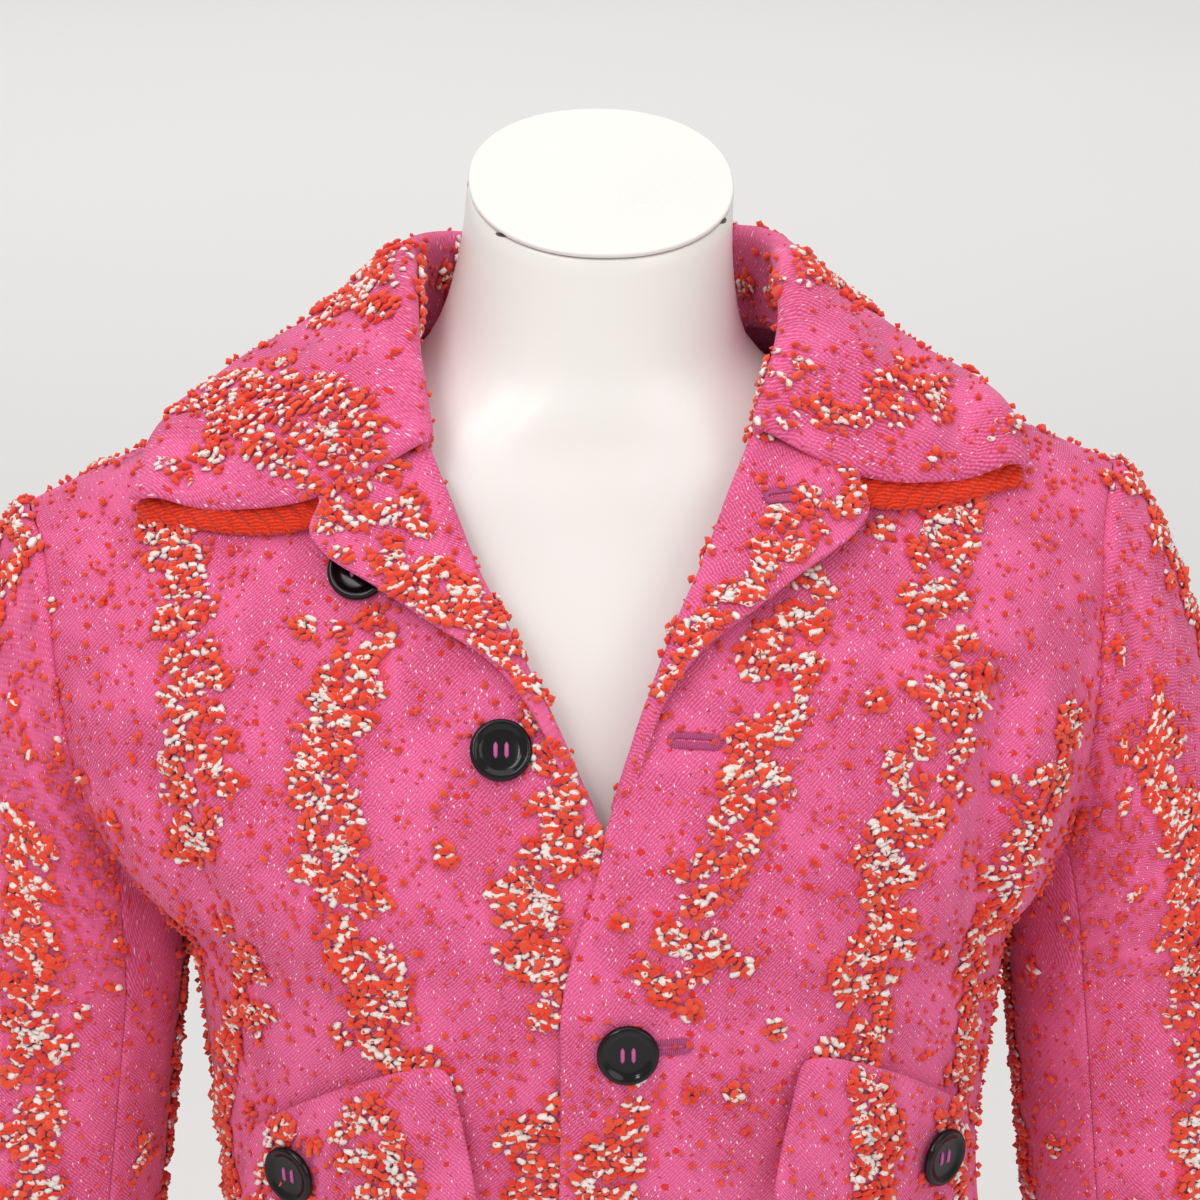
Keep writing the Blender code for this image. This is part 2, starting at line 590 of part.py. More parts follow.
def make_pockets():
    pocket = patch_grid(POCKET, lambda top: top - POCKET["bottom_z"], POCKET_LIFT, 8, 6)
    flap = patch_grid(FLAP, lambda top: FLAP["depth"] + 0 * top, FLAP_LIFT, 5, 7, FLAP["flare"])
    for name, grid in (("pocket", pocket), ("flap", flap)):
        cloth_piece(name + "_left", grid)
        cloth_piece(name + "_right", mirrored(grid))


# ---- buttons ----
def button_mesh(name):
    """A dished button turned about its axis, with a raised rim."""
    rim, r = 0.0026, BUTTON_RADIUS
    profile = [(0.0, 0.0), (r * 0.80, 0.0), (r, 0.0012), (r, 0.0026), (r - 0.0010, BUTTON_DEPTH),
               (r - rim, BUTTON_DEPTH), (r - rim - 0.0012, 0.0026), (0.0, 0.0026)]
    bm = bmesh.new()
    chain = [bm.verts.new((x, 0.0, z)) for x, z in profile]
    edges = [bm.edges.new(pair) for pair in zip(chain[:-1], chain[1:])]
    bmesh.ops.spin(bm, geom=chain + edges, axis=(0, 0, 1), cent=(0, 0, 0), angle=2 * math.pi, steps=20,
                   use_merge=True)
    bmesh.ops.remove_doubles(bm, verts=bm.verts, dist=1e-6)
    bmesh.ops.recalc_face_normals(bm, faces=bm.faces)
    mesh = bpy.data.meshes.new(name)
    bm.to_mesh(mesh)
    bm.free()
    mesh.materials.append(material("button"))
    mesh.shade_smooth()
    mesh.set_sharp_from_angle(angle=math.radians(35))
    return mesh


def place_button(name, mesh, x, z, lift):
    """A button square to the cloth, its back at the given lift."""
    seat = lifted_on_torso(np.array([x]), np.array([z]), -1, np.array([lift]))[0]
    base = on_torso(np.array([x]), np.array([z]), -1)[0]
    made = bpy.data.objects.new(name, mesh)
    made.location = standing(seat)
    made.rotation_mode = "QUATERNION"
    made.rotation_quaternion = Vector((0, 0, 1)).rotation_difference(Vector(seat - base))
    bpy.context.scene.collection.objects.link(made)


def make_buttons():
    mesh = button_mesh("button")
    above_cloth = CLOTH + 0.0006
    over = above_cloth + OVER_FRONT_LIFT
    place_button("button_1", mesh, -0.0880, 0.6195, above_cloth)
    place_button("button_2", mesh, -0.0370, THIRD_BUTTON_Z + BUTTON_SPACING, above_cloth)
    place_button("button_3", mesh, 0.0, THIRD_BUTTON_Z, over)
    place_button("button_4", mesh, 0.0, THIRD_BUTTON_Z - BUTTON_SPACING, over)
    on_flap = FLAP_LIFT + FLAP["flare"] + above_cloth
    place_button("button_flap_left", mesh, FLAP_BUTTON_X, FLAP_BUTTON_Z, on_flap)
    place_button("button_flap_right", mesh, -FLAP_BUTTON_X, FLAP_BUTTON_Z, on_flap)


# ---- dress form ----
def form_ring(level, count, drop=0.0):
    """One section of the form, tilted forward about its own centre on the neck."""
    turns = np.linspace(0, 2 * math.pi, count, endpoint=False)
    power = 2 / 2.15
    x = level.half_width * np.sign(np.sin(turns)) * np.abs(np.sin(turns)) ** power
    depth = np.where(np.cos(turns) > 0, level.front, level.back)
    y = -depth * np.sign(np.cos(turns)) * np.abs(np.cos(turns)) ** power
    tilt = math.radians(level.tilt)
    stance = standing(points(0.0, 0.0, level.z))
    slant = smooth(STANCE, "z", "slant", level.z)
    return points(x + stance[0], y * math.cos(tilt) + level.shift_y + drop * math.sin(tilt),
                  level.z + y * math.sin(tilt) - drop * math.cos(tilt) + slant * x)


def form_levels():
    """The form's sections, read smoothly from its table."""
    heights = [row.z for row in FORM]
    for low, high in zip(FORM[:-1], FORM[1:]):
        extra = int((high.z - low.z) // FORM_SPACING)
        heights += list(np.linspace(low.z, high.z, extra + 2)[1:-1])
    levels = []
    for z in sorted(heights):
        values = [float(smooth(FORM, "z", column, z)) for column in FormLevel._fields[1:]]
        levels.append(FormLevel(z, *values))
    return levels


def loft(name, rings, material_name):
    """Closed body through rings of points, from the lowest to the highest."""
    bm = bmesh.new()
    loops = [[bm.verts.new(point) for point in ring] for ring in rings]
    count = len(loops[0])
    for low, high in zip(loops[:-1], loops[1:]):
        for i in range(count):
            j = (i + 1) % count
            bm.faces.new((low[i], low[j], high[j], high[i]))
    bm.faces.new(loops[0])
    bm.faces.new(loops[-1])
    return new_object(name, bm, material_name)


def make_form():
    count = 40
    levels = form_levels()
    loft("form_body", [form_ring(level, count) for level in levels], "form")
    top = levels[-1]
    bevel = 0.0008
    cap_rings = []
    for height, inset in ((0.0005, 0.0), (0.0030, 0.0), (0.0030 + bevel, bevel)):
        narrowed = top._replace(half_width=top.half_width - inset, front=top.front - inset,
                                back=top.back - inset)
        cap_rings.append(form_ring(narrowed, count, drop=-height))
    loft("form_neck_cap", cap_rings, "form")


def main():
    for item in list(bpy.data.objects):
        bpy.data.objects.remove(item, do_unlink=True)
    make_form()
    make_fronts()
    make_back()
    make_sleeves()
    make_collar()
    make_lapels()
    make_pockets()
    make_buttons()


main()
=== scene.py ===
import math

import bpy
import numpy as np
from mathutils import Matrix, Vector


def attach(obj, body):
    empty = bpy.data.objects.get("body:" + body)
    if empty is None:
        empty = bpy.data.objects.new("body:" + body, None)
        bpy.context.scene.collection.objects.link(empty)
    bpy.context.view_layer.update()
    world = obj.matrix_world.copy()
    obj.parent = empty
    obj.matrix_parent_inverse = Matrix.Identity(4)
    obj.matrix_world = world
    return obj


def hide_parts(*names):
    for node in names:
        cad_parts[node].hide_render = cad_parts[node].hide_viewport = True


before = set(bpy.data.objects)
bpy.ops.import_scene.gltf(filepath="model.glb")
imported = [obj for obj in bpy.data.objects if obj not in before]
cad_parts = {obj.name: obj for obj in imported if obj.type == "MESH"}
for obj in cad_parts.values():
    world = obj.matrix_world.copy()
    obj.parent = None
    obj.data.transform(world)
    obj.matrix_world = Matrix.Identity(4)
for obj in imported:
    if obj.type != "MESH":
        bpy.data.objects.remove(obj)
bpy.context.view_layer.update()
print("frame loaded,", len(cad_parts), "nodes")

# The torso that every layer of cloth lies on, level by level. Metres, front towards -Y, wearer's left +X.
torso = {
    "centre": (0.0, 0.0, 0.45),      # outwards is away from here
    "z": (0.225, 0.290, 0.360, 0.420, 0.457, 0.485, 0.527, 0.580, 0.632, 0.750),
    "halfWidth": (0.151, 0.146, 0.151, 0.158, 0.164, 0.186, 0.208, 0.221, 0.226, 0.226),
    "front": (0.124, 0.121, 0.130, 0.137, 0.138, 0.136, 0.130, 0.116, 0.100, 0.080),
    "back": (0.112, 0.103, 0.106, 0.113, 0.117, 0.120, 0.122, 0.120, 0.112, 0.098),
    "roundness": 2.3,
    "chestZ": 0.50,          # above this level it closes towards the shoulder seam
    "hemZ": 0.225,
    "sideNeck": (0.078, 0.692),
    "shoulderSlope": 0.44,
    "shoulderTipX": 0.215,
}

# The easy stance: each level moves sideways and tilts with the shoulders.
stance = {
    "z": (0.0, 0.200, 0.330, 0.440, 0.530, 0.600, 0.660, 0.710, 0.760),
    "shift": (0.0, 0.006, 0.009, 0.010, 0.002, 0.0, 0.002, 0.008, 0.011),
    "slant": (0.0, 0.0, 0.0, 0.0, 0.010, 0.022, 0.022, 0.012, 0.0),
}

armholes = {"underZ": 0.457, "front": 0.049, "back": 0.058}

# Shares of a panel's length where its edges change: neckline, roll line, armhole.
panels = {"neck": 0.20, "break": 0.47, "armhole": 0.56, "backNeck": 0.36,
          "overlap": 0.025, "overlapRun": 0.078, "breakZ": 0.527, "step": 0.0045, "backStep": 0.0055,
          "wall": 0.0024, "rim": 0.0026,
          # how far a shape takes to fade: down from the shoulder, beside the back's neckline, down the back
          # (three shares), and creases beside the back's middle (metres)
          "shoulderFade": 0.10, "neckFade": 0.06, "backFade": 0.45, "centreFade": 0.03,
          # the over front's rise off the under front: height, and where it begins and how fast
          "overLift": 0.0034, "overReach": 0.060, "overRun": 0.035, "overRise": 0.030}

# The fronts and the back follow the collar's foot and the lapels' roll, so both are given here.
# Collar from the centre back (0) to the gorge (1): foot of the stand, the way to the roll, the fall's edge.
collar = {
    "at": (0.0, 0.28, 0.50, 0.75, 1.0),
    "footX": (0.0, 0.0430, 0.0780, 0.0750, 0.0635),
    "footReach": (0.42, 0.36, 0.05, -0.26, -0.49),
    "inX": (0.0, -0.004, -0.011, -0.007, -0.002),
    "inY": (-0.004, -0.004, 0.0, -0.003, -0.003),
    "rise": (0.037, 0.036, 0.031, 0.017, 0.004),
    "edgeX": (0.0, 0.080, 0.143, 0.161, 0.172),
    "edgeReach": (0.62, 0.57, 0.30, -0.04, -0.36),
    "dip": (0.0, 0.0, 0.0, 0.020, 0.085),
    "fallPower": 1.6, "lift": 0.0096, "standLift": 0.0042, "wall": 0.0064,
    "underInner": 0.35, "underReach": 0.026, "underLift": 0.0046, "underWall": 0.0044,
    "fall": 0.100, "length": 0.215, "rim": 0.0056, "underRim": 0.0032, "centre": (0.0, 0.0, 0.50),
    "beyond": 1.6,               # how fast the undercollar goes on past the gorge
    # swellings in front, at their way in from the edge: rise, place, width
    "swellings": ((0.0042, 0.010, 0.007), (-0.0028, 0.027, 0.009)), "swellFrom": 0.74, "swellRun": 0.16,
    "softWidth": 0.20, "softRounds": 26, "ribRise": 0.00075, "ribAcross": 0.0062, "ribAlong": 0.0056,
    # where the ribs begin, and where the points lie closer for them
    "ribFrom": 0.80, "ribRun": 0.08, "fineFrom": 0.86, "fineAcross": 0.42,
}

# Lapels from the gorge (0) to the break (1): the roll line, and the edge that lies on the chest.
lapel = {
    "at": (0.0, 0.10, 0.20, 0.35, 0.50, 0.65, 0.80, 1.0),
    "rollX": (0.0612, 0.0575, 0.0525, 0.0450, 0.0355, 0.0265, 0.0165, 0.0040),
    "rollZ": (0.6590, 0.6490, 0.6370, 0.6200, 0.6030, 0.5860, 0.5660, 0.5340),
    "edgeX": (0.1010, 0.1050, 0.1000, 0.0800, 0.0600, 0.0400, 0.0265, 0.0090),
    "edgeZ": (0.6400, 0.6310, 0.6235, 0.6120, 0.6000, 0.5880, 0.5730, 0.5330),
    "lift": 0.0046, "cornerLift": 0.0122, "wall": 0.0032, "rim": 0.0018, "rollRadius": 0.0030, "rollSteps": 8,
    "breakDrop": 0.0052, "breakFrom": 0.84, "breakRun": 0.14,
    "underDrop": 0.0050, "underLength": 0.06, "underX": 0.06, "underZ": 0.12,
}


def smooth(table, column, at):
    # a table's column, read between its levels by a curve that never overshoots
    keys, values = np.array(table["at" if "at" in table else "z"]), np.array(table[column])
    if keys[0] > keys[-1]:
        keys, values = keys[::-1], values[::-1]
    steps = np.diff(keys)
    slopes = np.diff(values) / steps
    tangents = np.concatenate(([slopes[0]], np.zeros(len(slopes) - 1), [slopes[-1]]))
    same = slopes[:-1] * slopes[1:] > 0
    total = np.where(same, slopes[:-1] + slopes[1:], 1.0)
    tangents[1:-1] = np.where(same, 2 * slopes[:-1] * slopes[1:] / total, 0.0)
    at = np.clip(np.asarray(at, dtype=float), keys[0], keys[-1])
    i = np.clip(np.searchsorted(keys, at, side="right") - 1, 0, len(steps) - 1)
    t = (at - keys[i]) / steps[i]
    start = (1 + 2 * t) * (1 - t) ** 2 * values[i] + t * (1 - t) ** 2 * steps[i] * tangents[i]
    end = t * t * (3 - 2 * t) * values[i + 1] - t * t * (1 - t) * steps[i] * tangents[i + 1]
    return start + end


def ease(t):
    t = np.clip(t, 0.0, 1.0)
    return t * t * (3 - 2 * t)


def points(x, y, z):
    return np.stack(np.broadcast_arrays(*[np.asarray(value, dtype=float) for value in (x, y, z)]), axis=-1)


def unit(vectors):
    return vectors / (np.linalg.norm(vectors, axis=-1, keepdims=True) + 1e-12)


def standing(place):
    # from the upright figure to the easy stance
    x, z = place[..., 0], place[..., 2]
    return points(x + smooth(stance, "shift", z), place[..., 1], z + smooth(stance, "slant", z) * x)


def shoulderHeight(x):
    return torso["sideNeck"][1] - torso["shoulderSlope"] * (np.abs(x) - torso["sideNeck"][0])


def torsoY(x, z, facing):
    power = torso["roundness"]
    width = smooth(torso, "halfWidth", z)
    depth = smooth(torso, "front" if facing < 0 else "back", z)
    across = np.clip(1 - (np.abs(x) / width) ** power, 0.0, 1.0) ** (1 / power)
    climb = np.clip((z - torso["chestZ"]) / (shoulderHeight(x) - torso["chestZ"]), 0.0, 1.0)
    return facing * depth * across * np.clip(1 - climb ** power, 0.0, 1.0) ** (1 / power)


def onTorso(x, z, facing):
    return points(x, torsoY(x, z, facing), z)


def overShoulder(x, reach):
    # a surface over the shoulder: reach -1 is at chest level in front, 0 on the ridge and 1 behind
    top = shoulderHeight(x)
    z = top - (top - torso["chestZ"]) * np.abs(reach) ** torso["roundness"]
    return points(x, np.where(np.asarray(reach) < 0, torsoY(x, z, -1), torsoY(x, z, 1)), z)


def lifted(surface, u, v, lift):
    # a point this far off a surface given by two values, straight out from it
    step = 0.0005
    here = surface(u, v)
    alongU = surface(u + step, v) - surface(u - step, v)
    normal = unit(np.cross(alongU, surface(u, v + step) - surface(u, v - step)))
    inward = np.sum(normal * (here - points(*torso["centre"])), axis=-1, keepdims=True) < 0
    return here + np.where(inward, -normal, normal) * np.asarray(lift)[..., None]


def angleOf(x, z):
    # round the torso: 0 at the centre line, and a right angle at the side seam
    share = np.clip(np.abs(x) / smooth(torso, "halfWidth", z), 0.0, 1.0)
    return np.sign(x) * np.arcsin(share ** (torso["roundness"] / 2))


def xAt(angle, z):
    # the other way, from the angle to x
    return np.sign(angle) * smooth(torso, "halfWidth", z) * np.abs(np.sin(angle)) ** (2 / torso["roundness"])


def liftedOnTorso(x, z, facing, lift):
    # the same on the torso, by x and height
    step, turn = 0.0006, 0.01
    angle = angleOf(x, z)
    low = np.clip(np.abs(angle) - turn, 0.0, None)
    high = np.abs(angle) + turn
    over = np.clip(high - math.pi / 2, 0.0, None)
    sign = np.where(x < 0, -1.0, 1.0)
    before = onTorso(sign * np.abs(xAt(low, z)), z, facing)
    after = onTorso(sign * np.abs(xAt(high - over, z)), z, facing)
    beyond = onTorso(sign * np.abs(xAt(math.pi / 2 - over, z)), z, facing) * np.array([1.0, -1.0, 1.0])
    after = np.where((over > 0)[..., None], beyond, after)      # past the side seam it goes on behind
    above = np.minimum(z + step, shoulderHeight(x) - 1e-7)
    up = onTorso(x, above, facing) - onTorso(x, z - step, facing)
    normal = unit(np.cross((after - before) * sign[..., None], up) * -facing)
    return onTorso(x, z, facing) + normal * np.asarray(lift)[..., None]


def torsoCloth(x, z, facing):
    # flat-pattern coordinates: across from the centre line, and up from the hem
    steps = np.linspace(0, 1, 18)
    angle = angleOf(x, z)[..., None] * steps
    level = np.broadcast_to(z[..., None], angle.shape)
    sectionX = xAt(angle, level)
    sectionY = torsoY(sectionX, level, facing)
    across = np.sum(np.hypot(np.diff(sectionX, axis=-1), np.diff(sectionY, axis=-1)), axis=-1) * np.sign(x)
    height = torso["hemZ"] + (z[..., None] - torso["hemZ"]) * steps
    profileX = xAt(np.broadcast_to(angleOf(x, z)[..., None], height.shape), height)
    profile = onTorso(profileX, np.minimum(height, shoulderHeight(profileX) - 1e-6), facing)
    rise = np.sum(np.linalg.norm(np.diff(profile, axis=-2), axis=-1), axis=-1)
    return np.stack((across, rise), axis=-1)


def armhole(turn, facing=None):
    # the armhole's loop: 0 at the shoulder tip, pi at the underarm, by the front
    turn = np.asarray(turn, dtype=float)
    power = torso["roundness"]
    tall = shoulderHeight(torso["shoulderTipX"]) - armholes["underZ"]
    z = armholes["underZ"] + tall * (1 + np.cos(turn)) / 2
    side = np.where(np.sin(turn) >= 0, -1.0, 1.0) if facing is None else np.full(turn.shape, float(facing))
    reach = np.where(side < 0, armholes["front"], armholes["back"]) * np.abs(np.sin(turn))
    width = smooth(torso, "halfWidth", z)
    depth = np.where(side < 0, smooth(torso, "front", z), smooth(torso, "back", z))
    x = np.full(turn.shape, 0.20)
    for _ in range(60):
        climb = np.clip((z - torso["chestZ"]) / (shoulderHeight(x) - torso["chestZ"]), 0.0, 1.0)
        closing = np.clip(1 - climb ** power, 1e-9, 1.0) ** (1 / power)
        share = np.clip(reach / (depth * closing), 0.0, 1.0)
        x = 0.7 * x + 0.3 * np.minimum(width * (1 - share ** power) ** (1 / power), torso["shoulderTipX"])
    return points(x, side * reach, z)


def sideEdge(s, facing):
    # a panel's outer edge: down the armhole, then the side seam
    upper = armhole(math.pi * np.clip(s / panels["armhole"], 0.0, 1.0) ** 0.9, facing)
    down = np.clip((s - panels["armhole"]) / (1 - panels["armhole"]), 0.0, 1.0)
    lowerZ = armholes["underZ"] + (torso["hemZ"] - armholes["underZ"]) * down
    onArmhole = s < panels["armhole"]
    return (np.where(onArmhole, upper[..., 0], smooth(torso, "halfWidth", lowerZ)),
            np.where(onArmhole, upper[..., 2], lowerZ))


def frontEdge(s):
    # a front's inner edge: neckline, roll line, then the edge with the buttons
    along = np.clip(s / panels["neck"], 0.0, 1.0)
    neckX = smooth(collar, "footX", 0.5 + 0.5 * along)
    reach = np.minimum(smooth(collar, "footReach", 0.5 + 0.5 * along) * along ** 0.25, 0.0)
    neckTop = shoulderHeight(neckX)
    neckZ = neckTop - (neckTop - torso["chestZ"]) * np.abs(reach) ** torso["roundness"]
    down = np.clip((s - panels["neck"]) / (panels["break"] - panels["neck"]), 0.0, 1.0)
    rollX = smooth(lapel, "rollX", down) - lapel["rollX"][-1] * down ** 6
    rollZ = smooth(lapel, "rollZ", down) - (lapel["rollZ"][-1] - panels["breakZ"]) * down ** 6
    below = np.clip((s - panels["break"]) / (1 - panels["break"]), 0.0, 1.0)
    edgeZ = panels["breakZ"] + (torso["hemZ"] - panels["breakZ"]) * below
    edgeX = -panels["overlap"] * ease((panels["breakZ"] - edgeZ) / panels["overlapRun"]) ** 0.8
    parts = [s < panels["neck"], s < panels["break"]]
    return np.select(parts, [neckX, rollX], edgeX), np.select(parts, [neckZ, rollZ], edgeZ)


def overFront(x, z):
    # the over front rises off the under front beside the buttons
    beside = ease((panels["overReach"] - x) / panels["overRun"])
    below = ease((panels["breakZ"] + panels["overRise"] - z) / panels["overRise"])
    return panels["overLift"] * beside * below


# Creases, pressed into or raised from every layer: from (x, z) to (x, z), width, height.
creaseDepth = 1.6            # all of them are deepened by this
creases = {
    "frontLeft": [
        (0.160, 0.566, 0.143, 0.470, 0.009, -0.0044),
        (0.178, 0.560, 0.162, 0.476, 0.011, 0.0028),
        (0.136, 0.556, 0.126, 0.490, 0.012, 0.0018),
        (0.186, 0.600, 0.120, 0.560, 0.014, 0.0016),
        (0.120, 0.520, 0.085, 0.455, 0.012, -0.0014),
        (0.030, 0.500, 0.090, 0.470, 0.010, 0.0012),
        (0.020, 0.350, 0.075, 0.300, 0.011, -0.0013),
        (0.138, 0.330, 0.120, 0.262, 0.010, -0.0016),
    ],
    "frontRight": [
        (0.168, 0.548, 0.150, 0.470, 0.010, -0.0036),
        (0.150, 0.556, 0.134, 0.486, 0.012, 0.0022),
        (0.100, 0.585, 0.050, 0.555, 0.010, -0.0018),
        (0.125, 0.600, 0.070, 0.575, 0.013, 0.0018),
        (0.118, 0.515, 0.100, 0.440, 0.011, 0.0014),
        (0.045, 0.520, 0.020, 0.470, 0.010, -0.0014),
        (0.130, 0.320, 0.105, 0.250, 0.012, -0.0015),
    ],
    "backLeft": [
        (0.178, 0.560, 0.150, 0.480, 0.013, -0.0040),
        (0.150, 0.575, 0.125, 0.500, 0.016, 0.0030),
        (0.060, 0.400, 0.120, 0.352, 0.012, -0.0022),
        (0.020, 0.372, 0.085, 0.338, 0.010, 0.0018),
        (0.110, 0.310, 0.060, 0.285, 0.012, -0.0016),
    ],
    "backRight": [
        (0.182, 0.552, 0.156, 0.470, 0.011, -0.0035),
        (0.148, 0.560, 0.132, 0.495, 0.014, 0.0026),
        (0.045, 0.388, 0.130, 0.362, 0.011, -0.0024),
        (0.030, 0.350, 0.100, 0.325, 0.012, 0.0016),
        (0.090, 0.290, 0.030, 0.268, 0.010, -0.0014),
    ],
    # on the collar the first value runs along it from the centre back, the second from the roll to the edge
    "collarRight": [
        (0.120, 0.030, 0.165, 0.060, 0.012, -0.0024),
        (0.100, 0.060, 0.140, 0.080, 0.013, 0.0018),
        (0.182, 0.015, 0.200, 0.060, 0.012, 0.0016),
        (0.040, 0.020, 0.070, 0.060, 0.015, -0.0016),
    ],
    "collarLeft": [
        (0.112, 0.022, 0.158, 0.050, 0.010, -0.0030),
        (0.130, 0.012, 0.176, 0.034, 0.010, 0.0022),
        (0.176, 0.040, 0.204, 0.066, 0.012, 0.0020),
        (0.030, 0.050, 0.075, 0.075, 0.014, -0.0018),
    ],
    # on a sleeve the first value is the turn round it in radians, over 10, and the second its share down
    "sleeve": [
        (0.060, 0.300, 0.170, 0.390, 0.012, -0.0040),
        (0.020, 0.350, 0.140, 0.440, 0.014, 0.0030),
        (-0.150, 0.580, 0.080, 0.625, 0.011, -0.0030),
        (-0.060, 0.655, 0.130, 0.600, 0.012, 0.0026),
        (-0.170, 0.720, 0.020, 0.690, 0.010, -0.0022),
        (0.030, 0.800, 0.160, 0.850, 0.012, -0.0018),
        (-0.120, 0.905, 0.000, 0.880, 0.010, 0.0014),
    ],
}


def creased(name, x, z):
    # how far the named creases raise or press the cloth there
    height = np.zeros(np.broadcast(x, z).shape)
    for x0, z0, x1, z1, width, rise in creases[name]:
        way = np.array([x1 - x0, z1 - z0])
        along = np.clip(((x - x0) * way[0] + (z - z0) * way[1]) / (way @ way), 0.0, 1.0)
        away = np.hypot(x - x0 - along * way[0], z - z0 - along * way[1])
        height = height + rise * np.exp(-(away / width) ** 2) * (0.55 + 0.45 * np.sin(math.pi * along))
    return height * creaseDepth


# Rows this far from an edge carry its rounding, and the next ones keep a gap from them.
rimSteps, rimGap = (0.0004, 0.0012, 0.0026), 0.0006


def edged(start, end, length, step=panels["step"], first=True, last=True):
    # shares from start to end, about one step apart, and closer together beside an edge
    scale = (end - start) / length
    inner = list(np.linspace(start, end, max(3, int(round(length / step))) + 1))
    near = [start + rim * scale for rim in rimSteps] if first else []
    far = [end - rim * scale for rim in rimSteps] if last else []
    if first:
        inner = [inner[0]] + [value for value in inner[1:] if value > near[-1] + rimGap * scale]
    if last:
        inner = [value for value in inner[:-1] if value < far[-1] - rimGap * scale] + [inner[-1]]
    return np.array(sorted(inner + near + far))


def joined(*runs):
    # several runs of shares in one, each value once
    return np.unique(np.round(np.concatenate(runs), 9))


def runLength(grid, axis):
    # distance along the cloth from its first column or row
    steps = np.cumsum(np.linalg.norm(np.diff(grid, axis=axis), axis=-1), axis=axis)
    return np.pad(steps, ((1, 0), (0, 0)) if axis == 0 else ((0, 0), (1, 0)))


def edgeDistance(grid):
    # distance along the cloth to the nearest edge
    left, top = runLength(grid, 1), runLength(grid, 0)
    return np.minimum(np.minimum(left, left[:, -1:] - left), np.minimum(top, top[-1:] - top))


def gridNormals(grid, centre):
    # each point's way out, away from the centre
    normals = unit(np.cross(np.gradient(grid, axis=1), np.gradient(grid, axis=0)))
    facing = np.sum(normals * (grid - centre))
    return normals if facing > 0 else -normals


def clothCoordinates(grid):
    # flat-pattern coordinates of a regular grid, from its middle column and its first row
    middle = grid.shape[1] // 2
    across, along = runLength(grid, 1), runLength(grid, 0)[:, middle:middle + 1]
    return np.stack((across - across[:, middle:middle + 1], np.broadcast_to(along, across.shape)), axis=-1)


def inScene(name, data):
    made = bpy.data.objects.new(name, data)
    bpy.context.scene.collection.objects.link(made)
    return made


def meshObject(name, vertices, faces, material):
    mesh = bpy.data.meshes.new(name)
    mesh.from_pydata(np.asarray(vertices, float).reshape(-1, 3).tolist(), [], faces)
    mesh.materials.append(material)
    mesh.shade_smooth()
    return inScene(name, mesh)


def makeWall(name, grid, cloth, wall, material, centre=torso["centre"], rim=panels["rim"]):
    # a closed wall about the grid, which is the middle of the cloth; it thins to nothing round its edges
    rows, columns = grid.shape[:2]
    normals = gridNormals(grid, np.array(centre))
    share = 1 - np.clip(edgeDistance(grid) / rim, 0.0, 1.0)
    half = wall / 2 * np.sqrt(1 - share ** 2)
    outer = grid + normals * half[..., None]
    inner = grid - normals * half[..., None]
    index = np.arange(rows * columns).reshape(rows, columns)
    under = index.copy()
    under[1:-1, 1:-1] = rows * columns + np.arange((rows - 2) * (columns - 2)).reshape(rows - 2, columns - 2)
    quads = np.stack((index[:-1, :-1], index[:-1, 1:], index[1:, 1:], index[1:, :-1]), axis=-1).reshape(-1, 4)
    backs = np.stack((under[:-1, :-1], under[1:, :-1], under[1:, 1:], under[:-1, 1:]), axis=-1).reshape(-1, 4)
    middle = (rows // 2, columns // 2)
    a, b, c = outer[middle], outer[middle[0], middle[1] + 1], outer[middle[0] + 1, middle[1] + 1]
    turned = np.dot(np.cross(b - a, c - a), normals[middle]) < 0
    faces = np.concatenate((quads, backs))
    if turned:
        faces = faces[:, ::-1]
    vertices = np.concatenate((outer.reshape(-1, 3), inner[1:-1, 1:-1].reshape(-1, 3)))
    made = meshObject(name, vertices, faces.tolist(), material)
    flat = np.concatenate((cloth.reshape(-1, 2), cloth[1:-1, 1:-1].reshape(-1, 2)))
    uvMap = made.data.uv_layers.new(name="cloth")
    uvMap.data.foreach_set("uv", flat[faces.reshape(-1)].reshape(-1).astype(np.float32))
    return {"object": made, "outer": outer, "normals": normals, "cloth": cloth, "edge": edgeDistance(grid)}


def declareSheet(panel):
    cloth = panel["cloth"]
    corner, right, beyond, below = cloth[:-1, :-1], cloth[:-1, 1:], cloth[1:, 1:], cloth[1:, :-1]
    halves = ((right - corner, beyond - corner), (beyond - corner, below - corner))
    area = sum(0.5 * np.sum(np.abs(a[..., 0] * b[..., 1] - a[..., 1] * b[..., 0])) for a, b in halves)
    size = cloth.reshape(-1, 2).max(axis=0) - cloth.reshape(-1, 2).min(axis=0)
    flat = (round(float(size[0]), 4), round(float(size[1]), 4))
    area = min(round(float(area), 5), flat[0] * flat[1])


def newGroup(name, inputs, outputs):
    group = bpy.data.node_groups.new(name, "ShaderNodeTree")
    for label, kind, value in inputs:
        socket = group.interface.new_socket(name=label, in_out="INPUT", socket_type=kind)
        if value is not None:
            socket.default_value = value
    for label, kind in outputs:
        group.interface.new_socket(name=label, in_out="OUTPUT", socket_type=kind)
    return group, group.nodes.new("NodeGroupInput"), group.nodes.new("NodeGroupOutput")


